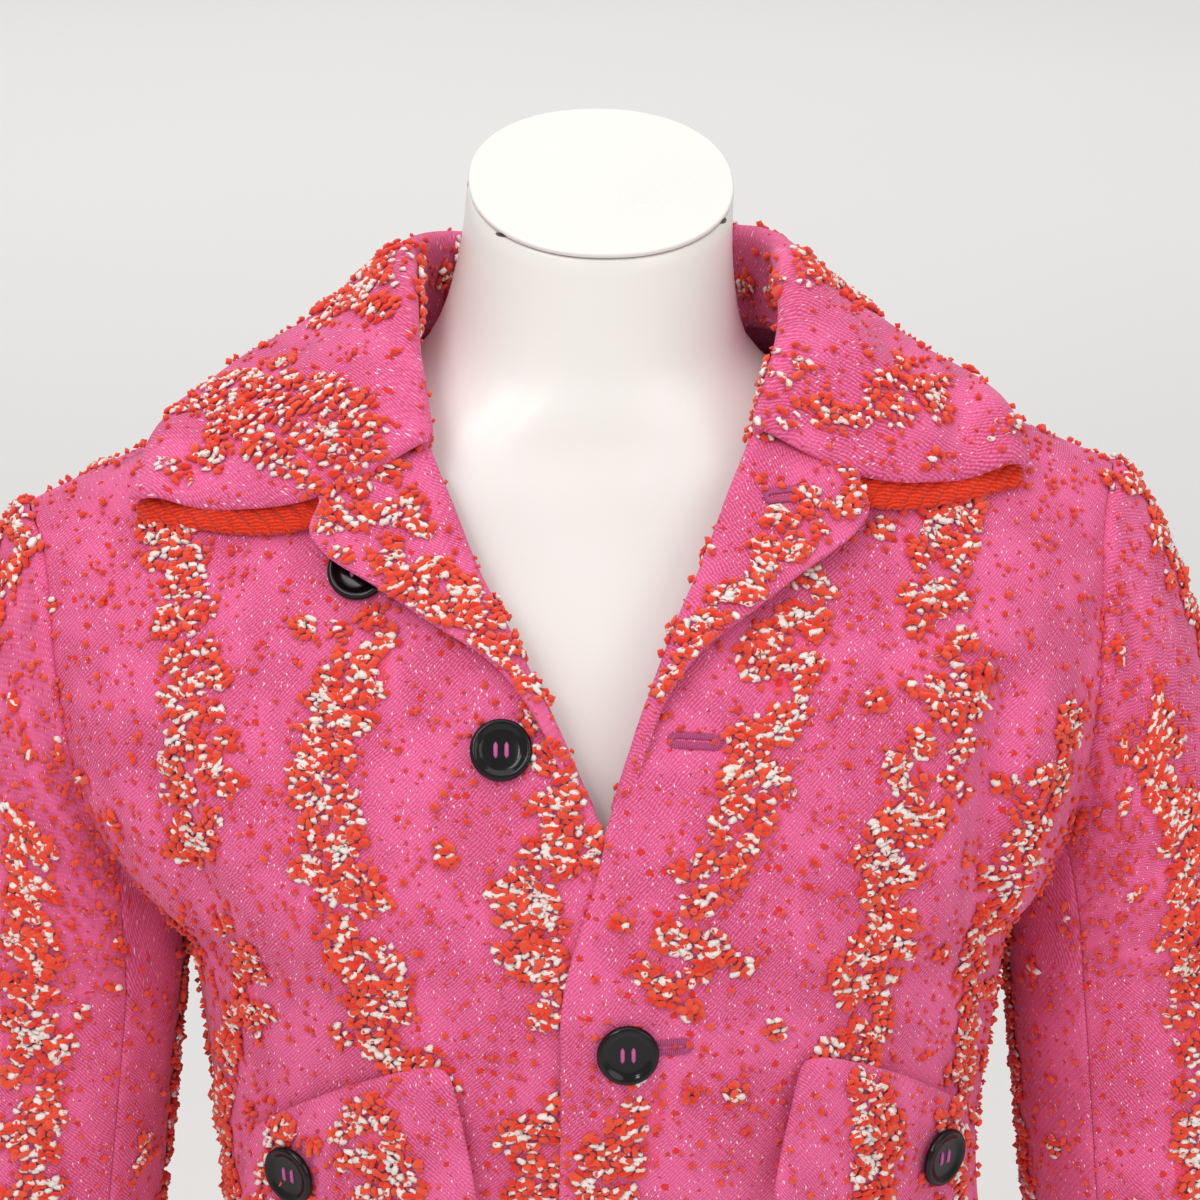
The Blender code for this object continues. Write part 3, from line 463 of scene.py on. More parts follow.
class Wiring:
    # short names for the nodes that the trees use again and again
    def __init__(self, tree):
        self.tree = tree

    def node(self, kind, **settings):
        made = self.tree.nodes.new(kind)
        for name, value in settings.items():
            setattr(made, name, value)
        return made

    def put(self, socket, value):
        if isinstance(value, bpy.types.NodeSocket):
            self.tree.links.new(value, socket)
        elif value is not None:
            socket.default_value = value

    def math(self, operation, a, b=None):
        made = self.node("ShaderNodeMath", operation=operation)
        for socket, value in zip(made.inputs, (a, b)):
            self.put(socket, value)
        return made.outputs[0]

    def plus(self, a, b):
        return self.math("ADD", a, b)

    def minus(self, a, b):
        return self.math("SUBTRACT", a, b)

    def times(self, a, b):
        return self.math("MULTIPLY", a, b)

    def over(self, a, b):
        return self.math("DIVIDE", a, b)

    def vector(self, operation, a, b=None, scale=None):
        made = self.node("ShaderNodeVectorMath", operation=operation)
        self.put(made.inputs[0], a)
        self.put(made.inputs[1], b)
        self.put(made.inputs[3], scale)
        single = operation in ("LENGTH", "DISTANCE", "DOT_PRODUCT")
        return made.outputs["Value" if single else 0]

    def mix(self, share, a, b):
        made = self.node("ShaderNodeMix", data_type="RGBA")
        self.put(made.inputs[0], share)
        self.put(made.inputs[6], a)
        self.put(made.inputs[7], b)
        return made.outputs[2]

    def split(self, vector):
        made = self.node("ShaderNodeSeparateXYZ")
        self.put(made.inputs[0], vector)
        return made.outputs

    def noise(self, vector, scale, detail=2.0, flat=False):
        made = self.node("ShaderNodeTexNoise", noise_dimensions="2D" if flat else "3D")
        self.put(made.inputs["Vector"], vector)
        self.put(made.inputs["Scale"], scale)
        made.inputs["Detail"].default_value = detail
        return made.outputs["Fac"]

    def cells(self, vector, spacing):
        # each cell's distance from its centre, and three values picked for it
        made = self.node("ShaderNodeTexVoronoi", voronoi_dimensions="2D")
        self.put(made.inputs["Vector"], vector)
        self.put(made.inputs["Scale"], self.over(1.0, spacing))
        picked = self.node("ShaderNodeSeparateColor")
        self.put(picked.inputs[0], made.outputs["Color"])
        return made.outputs["Distance"], picked.outputs

    def spots(self, pick, least, growth):
        # a radius for the cells picked above the least value, and none for the others
        return self.times(self.math("MAXIMUM", self.minus(pick, least), 0.0), growth)

    def range(self, value, low, high, toLow=0.0, toHigh=1.0):
        made = self.node("ShaderNodeMapRange", interpolation_type="SMOOTHSTEP")
        for socket, given in zip(made.inputs, (value, low, high, toLow, toHigh)):
            self.put(socket, given)
        return made.outputs[0]

    def mapped(self, vector, turn, scale=(1.0, 1.0, 1.0)):
        made = self.node("ShaderNodeMapping")
        self.put(made.inputs["Vector"], vector)
        made.inputs["Rotation"].default_value = (0.0, 0.0, turn)
        made.inputs["Scale"].default_value = scale
        return made.outputs[0]


def rgb(red, green, blue):
    # a colour given as it looks on screen, 0 to 255
    return tuple((value / 255) ** 2.2 for value in (red, green, blue)) + (1.0,)


def newMaterial(name):
    material = bpy.data.materials.new(name)
    material.use_nodes = True
    return material, Wiring(material.node_tree)


def finished(material, w, color, roughness, bump=None, plain={}):
    # bump is height, strength and distance; plain holds values for other sockets of the shader
    shader = material.node_tree.nodes["Principled BSDF"]
    w.put(shader.inputs["Base Color"], color)
    w.put(shader.inputs["Roughness"], roughness)
    for label, value in plain.items():
        shader.inputs[label].default_value = value
    if bump:
        relief = w.node("ShaderNodeBump")
        for label, value in zip(("Height", "Strength", "Distance"), bump):
            w.put(relief.inputs[label], value)
        w.put(shader.inputs["Normal"], relief.outputs[0])
    return material


tweedCloth = {
    "pink": rgb(227, 82, 139), "deepPink": rgb(205, 61, 114), "palePink": rgb(249, 155, 190),
    "fleck": rgb(255, 222, 232), "nub": rgb(240, 52, 38),
    "twillPeriod": 0.00115, "twillTurn": 0.80, "fleckSize": 0.0019, "nubSpacing": 0.0078,
    # how far the twill strays, and its relief
    "wander": 0.0012, "ridge": 0.46, "thread": 0.15, "threadRate": 3.4,
    "leastFleck": 0.58, "fleckGrowth": 0.42, "leastNub": 0.35, "nubGrowth": 0.28,
}


def twillGroup():
    # diagonal twill with pale flecks and small red nubs, in cloth metres
    look = tweedCloth
    group, source, result = newGroup("tweedTwill", [
        ("Cloth", "NodeSocketVector", None), ("Twill Period", "NodeSocketFloat", look["twillPeriod"]),
        ("Fleck Spacing", "NodeSocketFloat", look["fleckSize"]),
        ("Nub Spacing", "NodeSocketFloat", look["nubSpacing"]), ("Covered", "NodeSocketFloat", 0.0)],
        [("Color", "NodeSocketColor"), ("Height", "NodeSocketFloat"), ("Roughness", "NodeSocketFloat")])
    w = Wiring(group)
    place, period = source.outputs["Cloth"], source.outputs["Twill Period"]
    shiver = w.minus(w.noise(place, 160.0, detail=0.0, flat=True), 0.5)
    bendBy = w.times(shiver, look["wander"])
    bent = w.vector("ADD", place, w.vector("SCALE", (1.0, -0.8, 0.0), scale=bendBy))
    split = w.split(w.mapped(bent, look["twillTurn"]))
    ridge = w.math("SINE", w.times(w.over(split[0], period), 2 * math.pi))
    thread = w.math("SINE", w.times(w.over(split[1], period), look["threadRate"]))
    twill = w.plus(w.times(ridge, look["ridge"]), w.times(thread, look["thread"]))
    broad = w.noise(place, 34.0, detail=2.0, flat=True)
    fine = w.noise(bent, 1500.0, detail=1.0, flat=True)
    pink = w.mix(w.range(broad, 0.35, 0.68), look["deepPink"], look["pink"])
    lines = w.plus(w.times(w.plus(twill, 0.85), 0.20), w.times(fine, 0.42))
    ground = w.mix(w.range(lines, 0.22, 0.78), pink, look["palePink"])
    # pale flecks, drawn out along the twill
    drawnOut = w.mapped(bent, look["twillTurn"], (1.15, 0.50, 1.0))
    far, pick = w.cells(drawnOut, source.outputs["Fleck Spacing"])
    fleckRadius = w.spots(pick[0], look["leastFleck"], look["fleckGrowth"])
    fleck = w.range(w.minus(fleckRadius, far), -0.02, 0.05)
    # small red nubs
    nubFar, nubPick = w.cells(bent, source.outputs["Nub Spacing"])
    nubRadius = w.spots(nubPick[1], look["leastNub"], look["nubGrowth"])
    lumpy = w.plus(nubFar, w.times(w.minus(fine, 0.5), 0.24))
    bigNub = w.range(w.minus(nubRadius, lumpy), -0.02, 0.04)
    # close red loops where a cluster stands on the cloth
    loopMask = w.range(w.plus(source.outputs["Covered"], w.times(broad, 0.4)), 1.20, 1.32)
    loops = w.times(loopMask, w.range(fine, 0.42, 0.58))
    nub = w.math("MAXIMUM", bigNub, loops)
    w.put(result.inputs["Color"], w.mix(nub, w.mix(fleck, ground, look["fleck"]), look["nub"]))
    height = w.plus(w.times(twill, 0.07), w.times(fine, 0.12))
    w.put(result.inputs["Height"], w.plus(height, w.times(bigNub, 0.9)))
    w.put(result.inputs["Roughness"], w.range(fine, 0.0, 1.0, 0.78, 0.95))
    return group


def tweedMaterial(group):
    material, w = newMaterial("pink tweed")
    cloth = w.node("ShaderNodeUVMap", uv_map="cloth")
    weave = w.node("ShaderNodeGroup", node_tree=group)
    w.put(weave.inputs["Cloth"], cloth.outputs[0])
    w.put(weave.inputs["Covered"], w.node("ShaderNodeAttribute", attribute_name="boucle").outputs["Fac"])
    return finished(material, w, weave.outputs["Color"], weave.outputs["Roughness"],
                    (weave.outputs["Height"], 0.85, 0.0009),
                    {"Sheen Weight": 0.18, "Sheen Roughness": 0.5, "Sheen Tint": (1.0, 0.75, 0.86, 1.0),
                     "Specular IOR Level": 0.2})


boucleYarn = {"red": rgb(255, 90, 54), "darkRed": rgb(242, 50, 34), "white": rgb(255, 251, 246),
              "cream": rgb(248, 234, 226), "streakScale": 430.0}


def yarnMaterial():
    # tone 0 is the red yarn and 1 the white; shade varies from tuft to tuft
    material, w = newMaterial("boucle yarn")
    tone = w.node("ShaderNodeAttribute", attribute_name="tone").outputs["Fac"]
    shade = w.node("ShaderNodeAttribute", attribute_name="shade").outputs["Fac"]
    place = w.node("ShaderNodeTexCoord").outputs["Object"]
    fibre = w.noise(place, 2600.0, detail=2.0)
    vary = w.plus(w.times(shade, 0.6), w.times(fibre, 0.5))
    red = w.mix(w.range(vary, 0.15, 0.95), boucleYarn["darkRed"], boucleYarn["red"])
    white = w.mix(w.range(vary, 0.15, 0.95), boucleYarn["cream"], boucleYarn["white"])
    # red hairs cross the white yarn
    streak = w.range(w.noise(place, boucleYarn["streakScale"], detail=1.0), 0.43, 0.37)
    color = w.mix(w.times(tone, w.minus(1.0, streak)), red, white)
    return finished(material, w, color, w.range(fibre, 0.2, 0.8, 0.72, 0.92), (fibre, 0.7, 0.0006),
                    {"Sheen Weight": 0.38, "Sheen Roughness": 0.5, "Specular IOR Level": 0.2})


def knitMaterial():
    material, w = newMaterial("ribbed knit")
    cloth = w.node("ShaderNodeUVMap", uv_map="cloth").outputs[0]
    loopLength = 0.0011
    loops = w.math("SINE", w.times(w.split(cloth)[0], 2 * math.pi / loopLength))
    # the loops raise the bump and also make the colour lighter on them and darker between them: painted shade
    # in the hollows; the noise adds a random tone
    shadeOf = w.plus(w.times(loops, 0.25), w.noise(cloth, 1800.0))
    color = w.mix(w.range(shadeOf, 0.2, 0.9), rgb(204, 36, 18), rgb(244, 74, 34))
    return finished(material, w, color, 0.85, (shadeOf, 0.6, 0.0005),
                    {"Sheen Weight": 0.2, "Specular IOR Level": 0.25})


def threadMaterial(name, light, dark):
    material, w = newMaterial(name)
    fibre = w.noise(w.node("ShaderNodeTexCoord").outputs["Object"], 3200.0)
    return finished(material, w, w.mix(fibre, dark, light), w.range(fibre, 0.2, 0.8, 0.55, 0.75),
                    (fibre, 0.5, 0.0003))


def buttonMaterial():
    material, w = newMaterial("black button")
    place = w.node("ShaderNodeTexCoord").outputs["Object"]
    haze = w.noise(place, 260.0, detail=3.0)
    scratch = w.noise(w.mapped(place, 0.6, (1.0, 9.0, 1.0)), 420.0)
    color = w.mix(haze, (0.002, 0.0015, 0.002, 1.0), (0.007, 0.005, 0.006, 1.0))
    worn = w.plus(haze, w.times(scratch, 0.3))
    return finished(material, w, color, w.range(worn, 0.3, 0.9, 0.06, 0.16),
                    plain={"Specular IOR Level": 0.34})


def lacquerMaterial():
    material, w = newMaterial("white lacquer")
    place = w.node("ShaderNodeTexCoord").outputs["Object"]
    cloud = w.noise(place, 9.0, detail=3.0)
    speck = w.noise(place, 420.0)
    paint = w.mix(cloud, rgb(238, 234, 228), rgb(246, 244, 240))
    chipped = 0.0
    for spot, size in form["chips"]:
        away = w.vector("LENGTH", w.vector("DIVIDE", w.vector("SUBTRACT", place, spot), size))
        ragged = w.plus(away, w.times(w.noise(place, 900.0), 0.9))
        chipped = w.math("MAXIMUM", w.range(ragged, 1.5, 1.3), chipped)
    hazy = w.plus(cloud, w.times(speck, 0.2))
    return finished(material, w, w.mix(chipped, paint, rgb(96, 84, 74)), w.range(hazy, 0.3, 0.9, 0.26, 0.40),
                    (w.noise(place, 130.0, detail=3.0), 0.05, 0.0006),
                    {"Coat Weight": 0.25, "Coat Roughness": 0.2})


def jointMaterial():
    # a dark ring in the joint between the body and the neck cap: painted shadow in the gap, its tone varied
    # by noise
    material, w = newMaterial("joint shadow")
    shadowNoise = w.noise(w.node("ShaderNodeTexCoord").outputs["Object"], 700.0)
    return finished(material, w, w.mix(shadowNoise, rgb(58, 50, 44), rgb(120, 112, 102)), 0.9)


tweed = tweedMaterial(twillGroup())
yarn = yarnMaterial()
knit = knitMaterial()
pinkThread = threadMaterial("pink thread", rgb(222, 104, 176), rgb(176, 62, 132))
mauveThread = threadMaterial("buttonhole thread", rgb(204, 92, 142), rgb(164, 64, 112))
blackGloss = buttonMaterial()
print("cloth, yarn, thread and button materials ready")


tuftInputs = {"Bar Length": 0.0049, "Bar Width": 0.0029, "Bar Height": 0.0023, "Nub Size": 0.0034,
              "Bar Bend": 0.22, "Bar Taper": 0.34, "Lumpiness": 0.0021, "Sides": 4}
bendOf, lumpScale, nubRoundness = -0.0023, 760.0, 0.90


def tuftTree():
    # short yarn tufts or stitches on points: bars, nubs and specks, lumpy and realized
    tree = bpy.data.node_groups.new("yarnTufts", "GeometryNodeTree")
    tree.is_modifier = True
    sockets = {}
    kinds = {"Geometry": "NodeSocketGeometry", **dict.fromkeys(tuftInputs, "NodeSocketFloat"),
             "Sides": "NodeSocketInt", "Material": "NodeSocketMaterial"}
    for label, kind in kinds.items():
        socket = tree.interface.new_socket(name=label, in_out="INPUT", socket_type=kind)
        sockets[label] = socket.identifier
        if label in tuftInputs:
            socket.default_value = tuftInputs[label]
    tree.interface.new_socket(name="Geometry", in_out="OUTPUT", socket_type="NodeSocketGeometry")
    w = Wiring(tree)
    source, result = w.node("NodeGroupInput"), w.node("NodeGroupOutput")

    def attribute(name, kind):
        made = w.node("GeometryNodeInputNamedAttribute", data_type=kind)
        made.inputs["Name"].default_value = name
        return made.outputs["Attribute"]

    def combine(x, y, z):
        made = w.node("ShaderNodeCombineXYZ")
        for socket, value in zip(made.inputs, (x, y, z)):
            w.put(socket, value)
        return made.outputs[0]

    def ball(scale, bend, rings=3, taper=0.0):
        sphere = w.node("GeometryNodeMeshUVSphere")
        w.put(sphere.inputs["Segments"], source.outputs["Sides"])
        sphere.inputs["Rings"].default_value = rings
        sphere.inputs["Radius"].default_value = 0.5
        turned = w.node("GeometryNodeTransform")
        w.put(turned.inputs["Geometry"], sphere.outputs["Mesh"])
        turned.inputs["Rotation"].default_value = (0.0, math.pi / 2, 0.0)     # its poles are the bar's ends
        sized = w.node("GeometryNodeTransform")
        w.put(sized.inputs["Geometry"], turned.outputs[0])
        w.put(sized.inputs["Scale"], scale)
        bent = w.node("GeometryNodeSetPosition")
        x, y, z = w.split(w.node("GeometryNodeInputPosition").outputs[0])
        sag = w.times(w.times(x, x), w.over(bend, bendOf))
        leaner = w.times(x, taper)          # thick at one end and thin at the other
        w.put(bent.inputs["Geometry"], sized.outputs[0])
        w.put(bent.inputs["Offset"], combine(0.0, w.times(y, leaner),
                                             w.plus(sag, w.times(z, leaner))))
        return bent.outputs[0]

    barTaper = w.over(w.times(source.outputs["Bar Taper"], 2.0), source.outputs["Bar Length"])
    barSize = combine(*[source.outputs["Bar " + side] for side in ("Length", "Width", "Height")])
    bar = ball(barSize, source.outputs["Bar Bend"], taper=barTaper)
    nubSize = source.outputs["Nub Size"]
    nubRound = w.times(nubSize, nubRoundness)
    nub = ball(combine(nubSize, nubRound, nubRound), 0.0)
    speck = ball(combine(nubSize, nubRound, nubRound), 0.0, rings=2)
    upright = w.node("FunctionNodeAlignRotationToVector", axis="Z")
    w.put(upright.inputs["Vector"], attribute("out", "FLOAT_VECTOR"))
    aligned = w.node("FunctionNodeAlignRotationToVector", axis="X", pivot_axis="Z")
    w.put(aligned.inputs["Rotation"], upright.outputs[0])
    w.put(aligned.inputs["Vector"], attribute("along", "FLOAT_VECTOR"))
    shape = attribute("shape", "FLOAT")          # 1 a bar, 0 a nub, -1 a speck
    isBar = w.math("GREATER_THAN", shape, 0.5)
    isNub = w.math("LESS_THAN", w.math("ABSOLUTE", shape), 0.5)
    isSpeck = w.math("LESS_THAN", shape, -0.5)
    gathered = w.node("GeometryNodeJoinGeometry")
    for solid, selection in ((bar, isBar), (nub, isNub), (speck, isSpeck)):
        placed = w.node("GeometryNodeInstanceOnPoints")
        w.put(placed.inputs["Points"], source.outputs["Geometry"])
        w.put(placed.inputs["Selection"], selection)
        w.put(placed.inputs["Instance"], solid)
        w.put(placed.inputs["Rotation"], aligned.outputs[0])
        w.put(placed.inputs["Scale"], attribute("size", "FLOAT_VECTOR"))
        w.put(gathered.inputs[0], placed.outputs[0])
    real = w.node("GeometryNodeRealizeInstances")
    w.put(real.inputs[0], gathered.outputs[0])
    lumps = w.node("ShaderNodeTexNoise")
    w.put(lumps.inputs["Vector"], w.node("GeometryNodeInputPosition").outputs[0])
    lumps.inputs["Scale"].default_value = lumpScale
    lumps.inputs["Detail"].default_value = 1.0
    centred = w.vector("SUBTRACT", lumps.outputs["Color"], (0.5, 0.5, 0.5))
    pushed = w.node("GeometryNodeSetPosition")
    w.put(pushed.inputs["Geometry"], real.outputs[0])
    w.put(pushed.inputs["Offset"], w.vector("SCALE", centred, scale=source.outputs["Lumpiness"]))
    smoothShade = w.node("GeometryNodeSetShadeSmooth")
    w.put(smoothShade.inputs[0], pushed.outputs[0])
    finish = w.node("GeometryNodeSetMaterial")
    w.put(finish.inputs["Geometry"], smoothShade.outputs[0])
    w.put(finish.inputs["Material"], source.outputs["Material"])
    w.put(result.inputs[0], finish.outputs[0])
    return tree, sockets


tufts, tuftSockets = tuftTree()


def growTufts(name, spots, material, sizes={}):
    # spots: place, out, along, size, shape, tone, shade, one row for each tuft
    mesh = bpy.data.meshes.new(name + "Points")
    mesh.from_pydata(spots["place"].tolist(), [], [])
    for label in ("out", "along", "size"):
        mesh.attributes.new(label, "FLOAT_VECTOR", "POINT").data.foreach_set(
            "vector", spots[label].reshape(-1).astype(np.float32))
    for label in ("shape", "tone", "shade"):
        values = spots[label].astype(np.float32)
        mesh.attributes.new(label, "FLOAT", "POINT").data.foreach_set("value", values)
    carrier = inScene(name, mesh)
    grower = carrier.modifiers.new("tufts", "NODES")
    grower.node_group = tufts
    grower[tuftSockets["Material"]] = material
    for label, value in sizes.items():
        grower[tuftSockets[label]] = value
    graph = bpy.context.evaluated_depsgraph_get()
    grown = bpy.data.meshes.new_from_object(carrier.evaluated_get(graph), preserve_all_data_layers=True,
                                            depsgraph=graph)
    grown.name = name
    carrier.modifiers.clear()
    carrier.data = grown
    bpy.data.meshes.remove(mesh)
    if not grown.materials:
        grown.materials.append(material)
    return carrier


# Boucle: clusters of tufts along listed bands, single clusters and stray nubs, in cloth coordinates.
boucle = {
    "rowGap": 0.00190, "barGap": 0.0040, "nubGap": 0.0033, "whiteShare": 0.70, "whiteAmongRed": 0.06,
    "whiteBars": 0.94, "redBars": 0.64, "redSize": 1.10, "tuftSize": (0.76, 1.14), "stretch": (0.85, 1.25),
    "tilt": 0.42, "whiteTurn": 0.28, "redTurn": 0.6, "clusterStep": 0.0064, "stepSpread": (0.85, 1.35),
    "clusterRadius": (0.0038, 0.0058), "clusterWidth": 0.0086, "gapShare": 0.10, "widen": 1.14,
    "sideSpread": 0.0026, "alongSpread": 0.0035, "singleRadius": (0.0034, 0.0050), "singleArea": 0.0022,
    "strayArea": 0.000048, "straySize": (0.40, 1.06), "strayNub": 0.92,
    "minGap": 0.00158, "edgeMargin": 0.0008,
    "halfHeight": 0.0014, "sink": 0.0005, "heightSpread": 0.0004, "sizeSpread": 0.11, "mound": 0.0011,
    "acrossSpread": 0.0003, "upSpread": 0.00025, "clusterEdge": 1.08, "whiteEdge": 0.97, "lookAhead": 0.004,
    "tuftsToCover": 1.1,
}
# columns of a spot: place across and up the cloth, turn, bar or nub, white or red, size, shade, mound
turnAt, shapeAt, toneAt, sizeAt, shadeAt, moundAt = range(2, 8)


def clusterSpots(centre, radius, random, grain=0.0):
    # one cluster: rows of white bars between rows of red nubs
    tilt = grain + random.normal(0.0, boucle["tilt"])
    rowCount = int(radius / boucle["rowGap"]) + 1
    spots = []
    stretch = random.uniform(*boucle["stretch"])
    for row in range(-rowCount, rowCount + 1):
        white = row % 2 == 0
        gap = boucle["barGap"] if white else boucle["nubGap"]
        offset = random.uniform(-0.5, 0.5) * gap
        for place in np.arange(-radius * stretch - gap, radius * stretch + gap, gap) + offset:
            u = place + random.normal(0.0, boucle["acrossSpread"])
            v = row * boucle["rowGap"] + random.normal(0.0, boucle["upSpread"])
            away = math.hypot(u / stretch, v) / radius
            if away > boucle["clusterEdge"]:
                continue
            share = boucle["whiteShare" if white else "whiteAmongRed"]
            isWhite = away < boucle["whiteEdge"] and random.random() < share
            isBar = random.random() < boucle["whiteBars" if isWhite else "redBars"]
            flip = math.pi if random.random() < 0.5 else 0.0
            turn = tilt + flip + random.normal(0.0, boucle["whiteTurn" if isWhite else "redTurn"])
            size = random.uniform(*boucle["tuftSize"]) * (1.0 if isWhite else boucle["redSize"])
            spots.append((centre[0] + u * math.cos(tilt) - v * math.sin(tilt),
                          centre[1] + u * math.sin(tilt) + v * math.cos(tilt),
                          turn, float(isBar), float(isWhite), size, random.random(), max(0.0, 1 - away)))
    return spots


def bandSpots(band, random, grain):
    # clusters along one band: its width, then the points of its line
    width, line = band[0] * boucle["widen"], np.array(band[1:])
    lengths = np.concatenate(([0.0], np.cumsum(np.linalg.norm(np.diff(line, axis=0), axis=-1))))
    reach = boucle["lookAhead"]

    def onLine(length):
        return np.array([np.interp(length, lengths, line[:, i]) for i in (0, 1)])

    spots = []
    at = random.uniform(0.0, reach)
    while at < lengths[-1]:
        centre = onLine(at)
        ahead = min(at + reach, lengths[-1])
        way = onLine(ahead) - onLine(ahead - 2 * reach)
        way = way / (np.linalg.norm(way) + 1e-9)
        beside = np.array([-way[1], way[0]])
        count = max(1, int(round(width / boucle["clusterWidth"])))
        for number in range(count):
            if random.random() < boucle["gapShare"]:
                continue
            radius = random.uniform(*boucle["clusterRadius"])
            side = ((number + 0.5) / count - 0.5) * width + random.normal(0.0, boucle["sideSpread"])
            along = random.normal(0.0, boucle["alongSpread"])
            spots += clusterSpots(centre + beside * side + way * along, radius, random, grain)
        at += boucle["clusterStep"] * random.uniform(*boucle["stepSpread"])
    return spots


def thinned(spots, gap):
    # drop a tuft that lies too near an earlier one
    kept, cells = [], {}
    for spot in spots:
        key = (int(spot[0] // gap), int(spot[1] // gap))
        near = [other for i in (-1, 0, 1) for j in (-1, 0, 1)
                for other in cells.get((key[0] + i, key[1] + j), ())]
        if all((spot[0] - other[0]) ** 2 + (spot[1] - other[1]) ** 2 > gap * gap for other in near):
            cells.setdefault(key, []).append(spot)
            kept.append(spot)
    return kept


def layTufts(name, panel, bands, seed, grain):
    random = np.random.default_rng(seed)
    cloth, outer, normals, edge = (panel[key] for key in ("cloth", "outer", "normals", "edge"))
    low, high = cloth.reshape(-1, 2).min(axis=0), cloth.reshape(-1, 2).max(axis=0)
    area = float(np.prod(high - low))
    spots = []
    for band in bands:
        spots += bandSpots(band, random, grain)
    for _ in range(int(area / boucle["singleArea"])):
        centre = random.uniform(low, high)
        spots += clusterSpots(centre, random.uniform(*boucle["singleRadius"]), random, grain)
    spots.sort(key=lambda spot: -spot[toneAt])     # the white bars find their places first
    for _ in range(int(area / boucle["strayArea"])):
        u, v = random.uniform(low, high)
        size = random.uniform(*boucle["straySize"])
        shape = 0.0 if size > boucle["strayNub"] else -1.0
        spots.append((u, v, random.uniform(0, math.pi), shape, 0.0, size, random.random(), 0.0))
    spots = np.array(thinned(spots, boucle["minGap"]))
    # find each spot on the panel's grid, then step along the cloth from the nearest point
    flat = cloth.reshape(-1, 2)
    nearest = np.concatenate([np.argmin(((some[:, None, :2] - flat[None]) ** 2).sum(axis=-1), axis=1)
                              for some in np.array_split(spots, max(1, len(spots) // 400))])
    clothU, clothV = np.gradient(cloth, axis=1).reshape(-1, 2), np.gradient(cloth, axis=0).reshape(-1, 2)
    placeU, placeV = np.gradient(outer, axis=1).reshape(-1, 3), np.gradient(outer, axis=0).reshape(-1, 3)
    du, dv = clothU[nearest], clothV[nearest]
    miss = spots[:, :2] - flat[nearest]
    cell = du[:, 0] * dv[:, 1] - du[:, 1] * dv[:, 0]
    cell = np.where(np.abs(cell) < 1e-12, 1e-12, cell)
    stepU = (miss[:, 0] * dv[:, 1] - miss[:, 1] * dv[:, 0]) / cell
    stepV = (du[:, 0] * miss[:, 1] - du[:, 1] * miss[:, 0]) / cell
    inside = (np.abs(stepU) < 1.0) & (np.abs(stepV) < 1.0)
    inside = inside & (edge.reshape(-1)[nearest] > boucle["edgeMargin"])
    aside = placeU[nearest] * stepU[:, None]
    place = outer.reshape(-1, 3)[nearest] + aside + placeV[nearest] * stepV[:, None]
    out = normals.reshape(-1, 3)[nearest]
    acrossWay = unit((placeU[nearest] * dv[:, 1:] - placeV[nearest] * du[:, 1:]) / cell[:, None])
    upWay = unit(np.cross(out, acrossWay))
    upward = (placeV[nearest] * du[:, :1] - placeU[nearest] * dv[:, :1]) / cell[:, None]
    upWay = np.where(np.sum(upWay * upward, axis=-1, keepdims=True) < 0, -upWay, upWay)
    turn = spots[:, turnAt, None]
    along = acrossWay * np.cos(turn) + upWay * np.sin(turn)
    scale = spots[:, sizeAt, None] * (1 + random.normal(0.0, boucle["sizeSpread"], (len(spots), 3)))
    height = boucle["halfHeight"] * scale[:, 2:] - boucle["sink"]
    height = height + random.uniform(0.0, boucle["heightSpread"], (len(spots), 1))
    height = height + boucle["mound"] * spots[:, moundAt, None]
    made = {"place": place + out * height, "out": out, "along": along, "size": scale,
            "shape": spots[:, shapeAt], "tone": spots[:, toneAt], "shade": spots[:, shadeAt]}
    # the cloth below a cluster is covered with fine red loops
    rows, columns = edge.shape
    clustered = nearest[inside & (spots[:, shapeAt] > -0.5)]
    field = np.bincount(clustered, minlength=rows * columns).reshape(rows, columns)
    field = np.pad(field.astype(float), 1)
    beside = field[:-2, 1:-1] + field[2:, 1:-1] + field[1:-1, :-2] + field[1:-1, 2:]
    corners = field[:-2, :-2] + field[2:, 2:] + field[:-2, 2:] + field[2:, :-2]
    field = (field[1:-1, 1:-1] * 4 + beside * 2 + corners) / 16
    covered = np.zeros(len(panel["object"].data.vertices), np.float32)
    covered[:rows * columns] = np.clip(field.reshape(-1) / boucle["tuftsToCover"], 0.0, 1.0)
    panel["object"].data.attributes.new("boucle", "FLOAT", "POINT").data.foreach_set("value", covered)
    made = {key: value[inside] for key, value in made.items()}
    return growTufts(name, made, yarn)


def onBody(piece, node=None):
    # every piece rides on the one body
    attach(piece, "root")
    if node:
        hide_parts(node)
    return piece


pieces = {}


def finishPiece(key, panel, node, bands=None, seed=0, grain=0.0):
    piece = onBody(panel["object"], node)
    going = [] if bands is None else [onBody(layTufts(key + "Boucle", panel, bands, seed, grain))]
    declareSheet(panel)
    pieces[key] = panel
    triangles = [sum(len(face.vertices) - 2 for face in item.data.polygons) for item in [piece] + going]
    print("made", key, triangles, "triangles")


def mirror(values):
    return values[:, ::-1] * np.array([-1.0, 1.0, 1.0][:values.shape[-1]])


def sided(side, *grids):
    # everything is made as if on the left
    return [mirror(grid) if side == "right" else grid for grid in grids]


def sidedBands(side, bands):
    return [(width, *[(-u, v) for u, v in line]) for width, *line in bands] if side == "right" else bands


def torsoBands(bands, facing):
    # bands are placed by x and height on the torso, and laid out on the flat cloth
    made = []
    for width, *line in bands:
        spots = np.array(line)
        made.append((width, *torsoCloth(spots[:, 0], spots[:, 1], facing).tolist()))
    return made


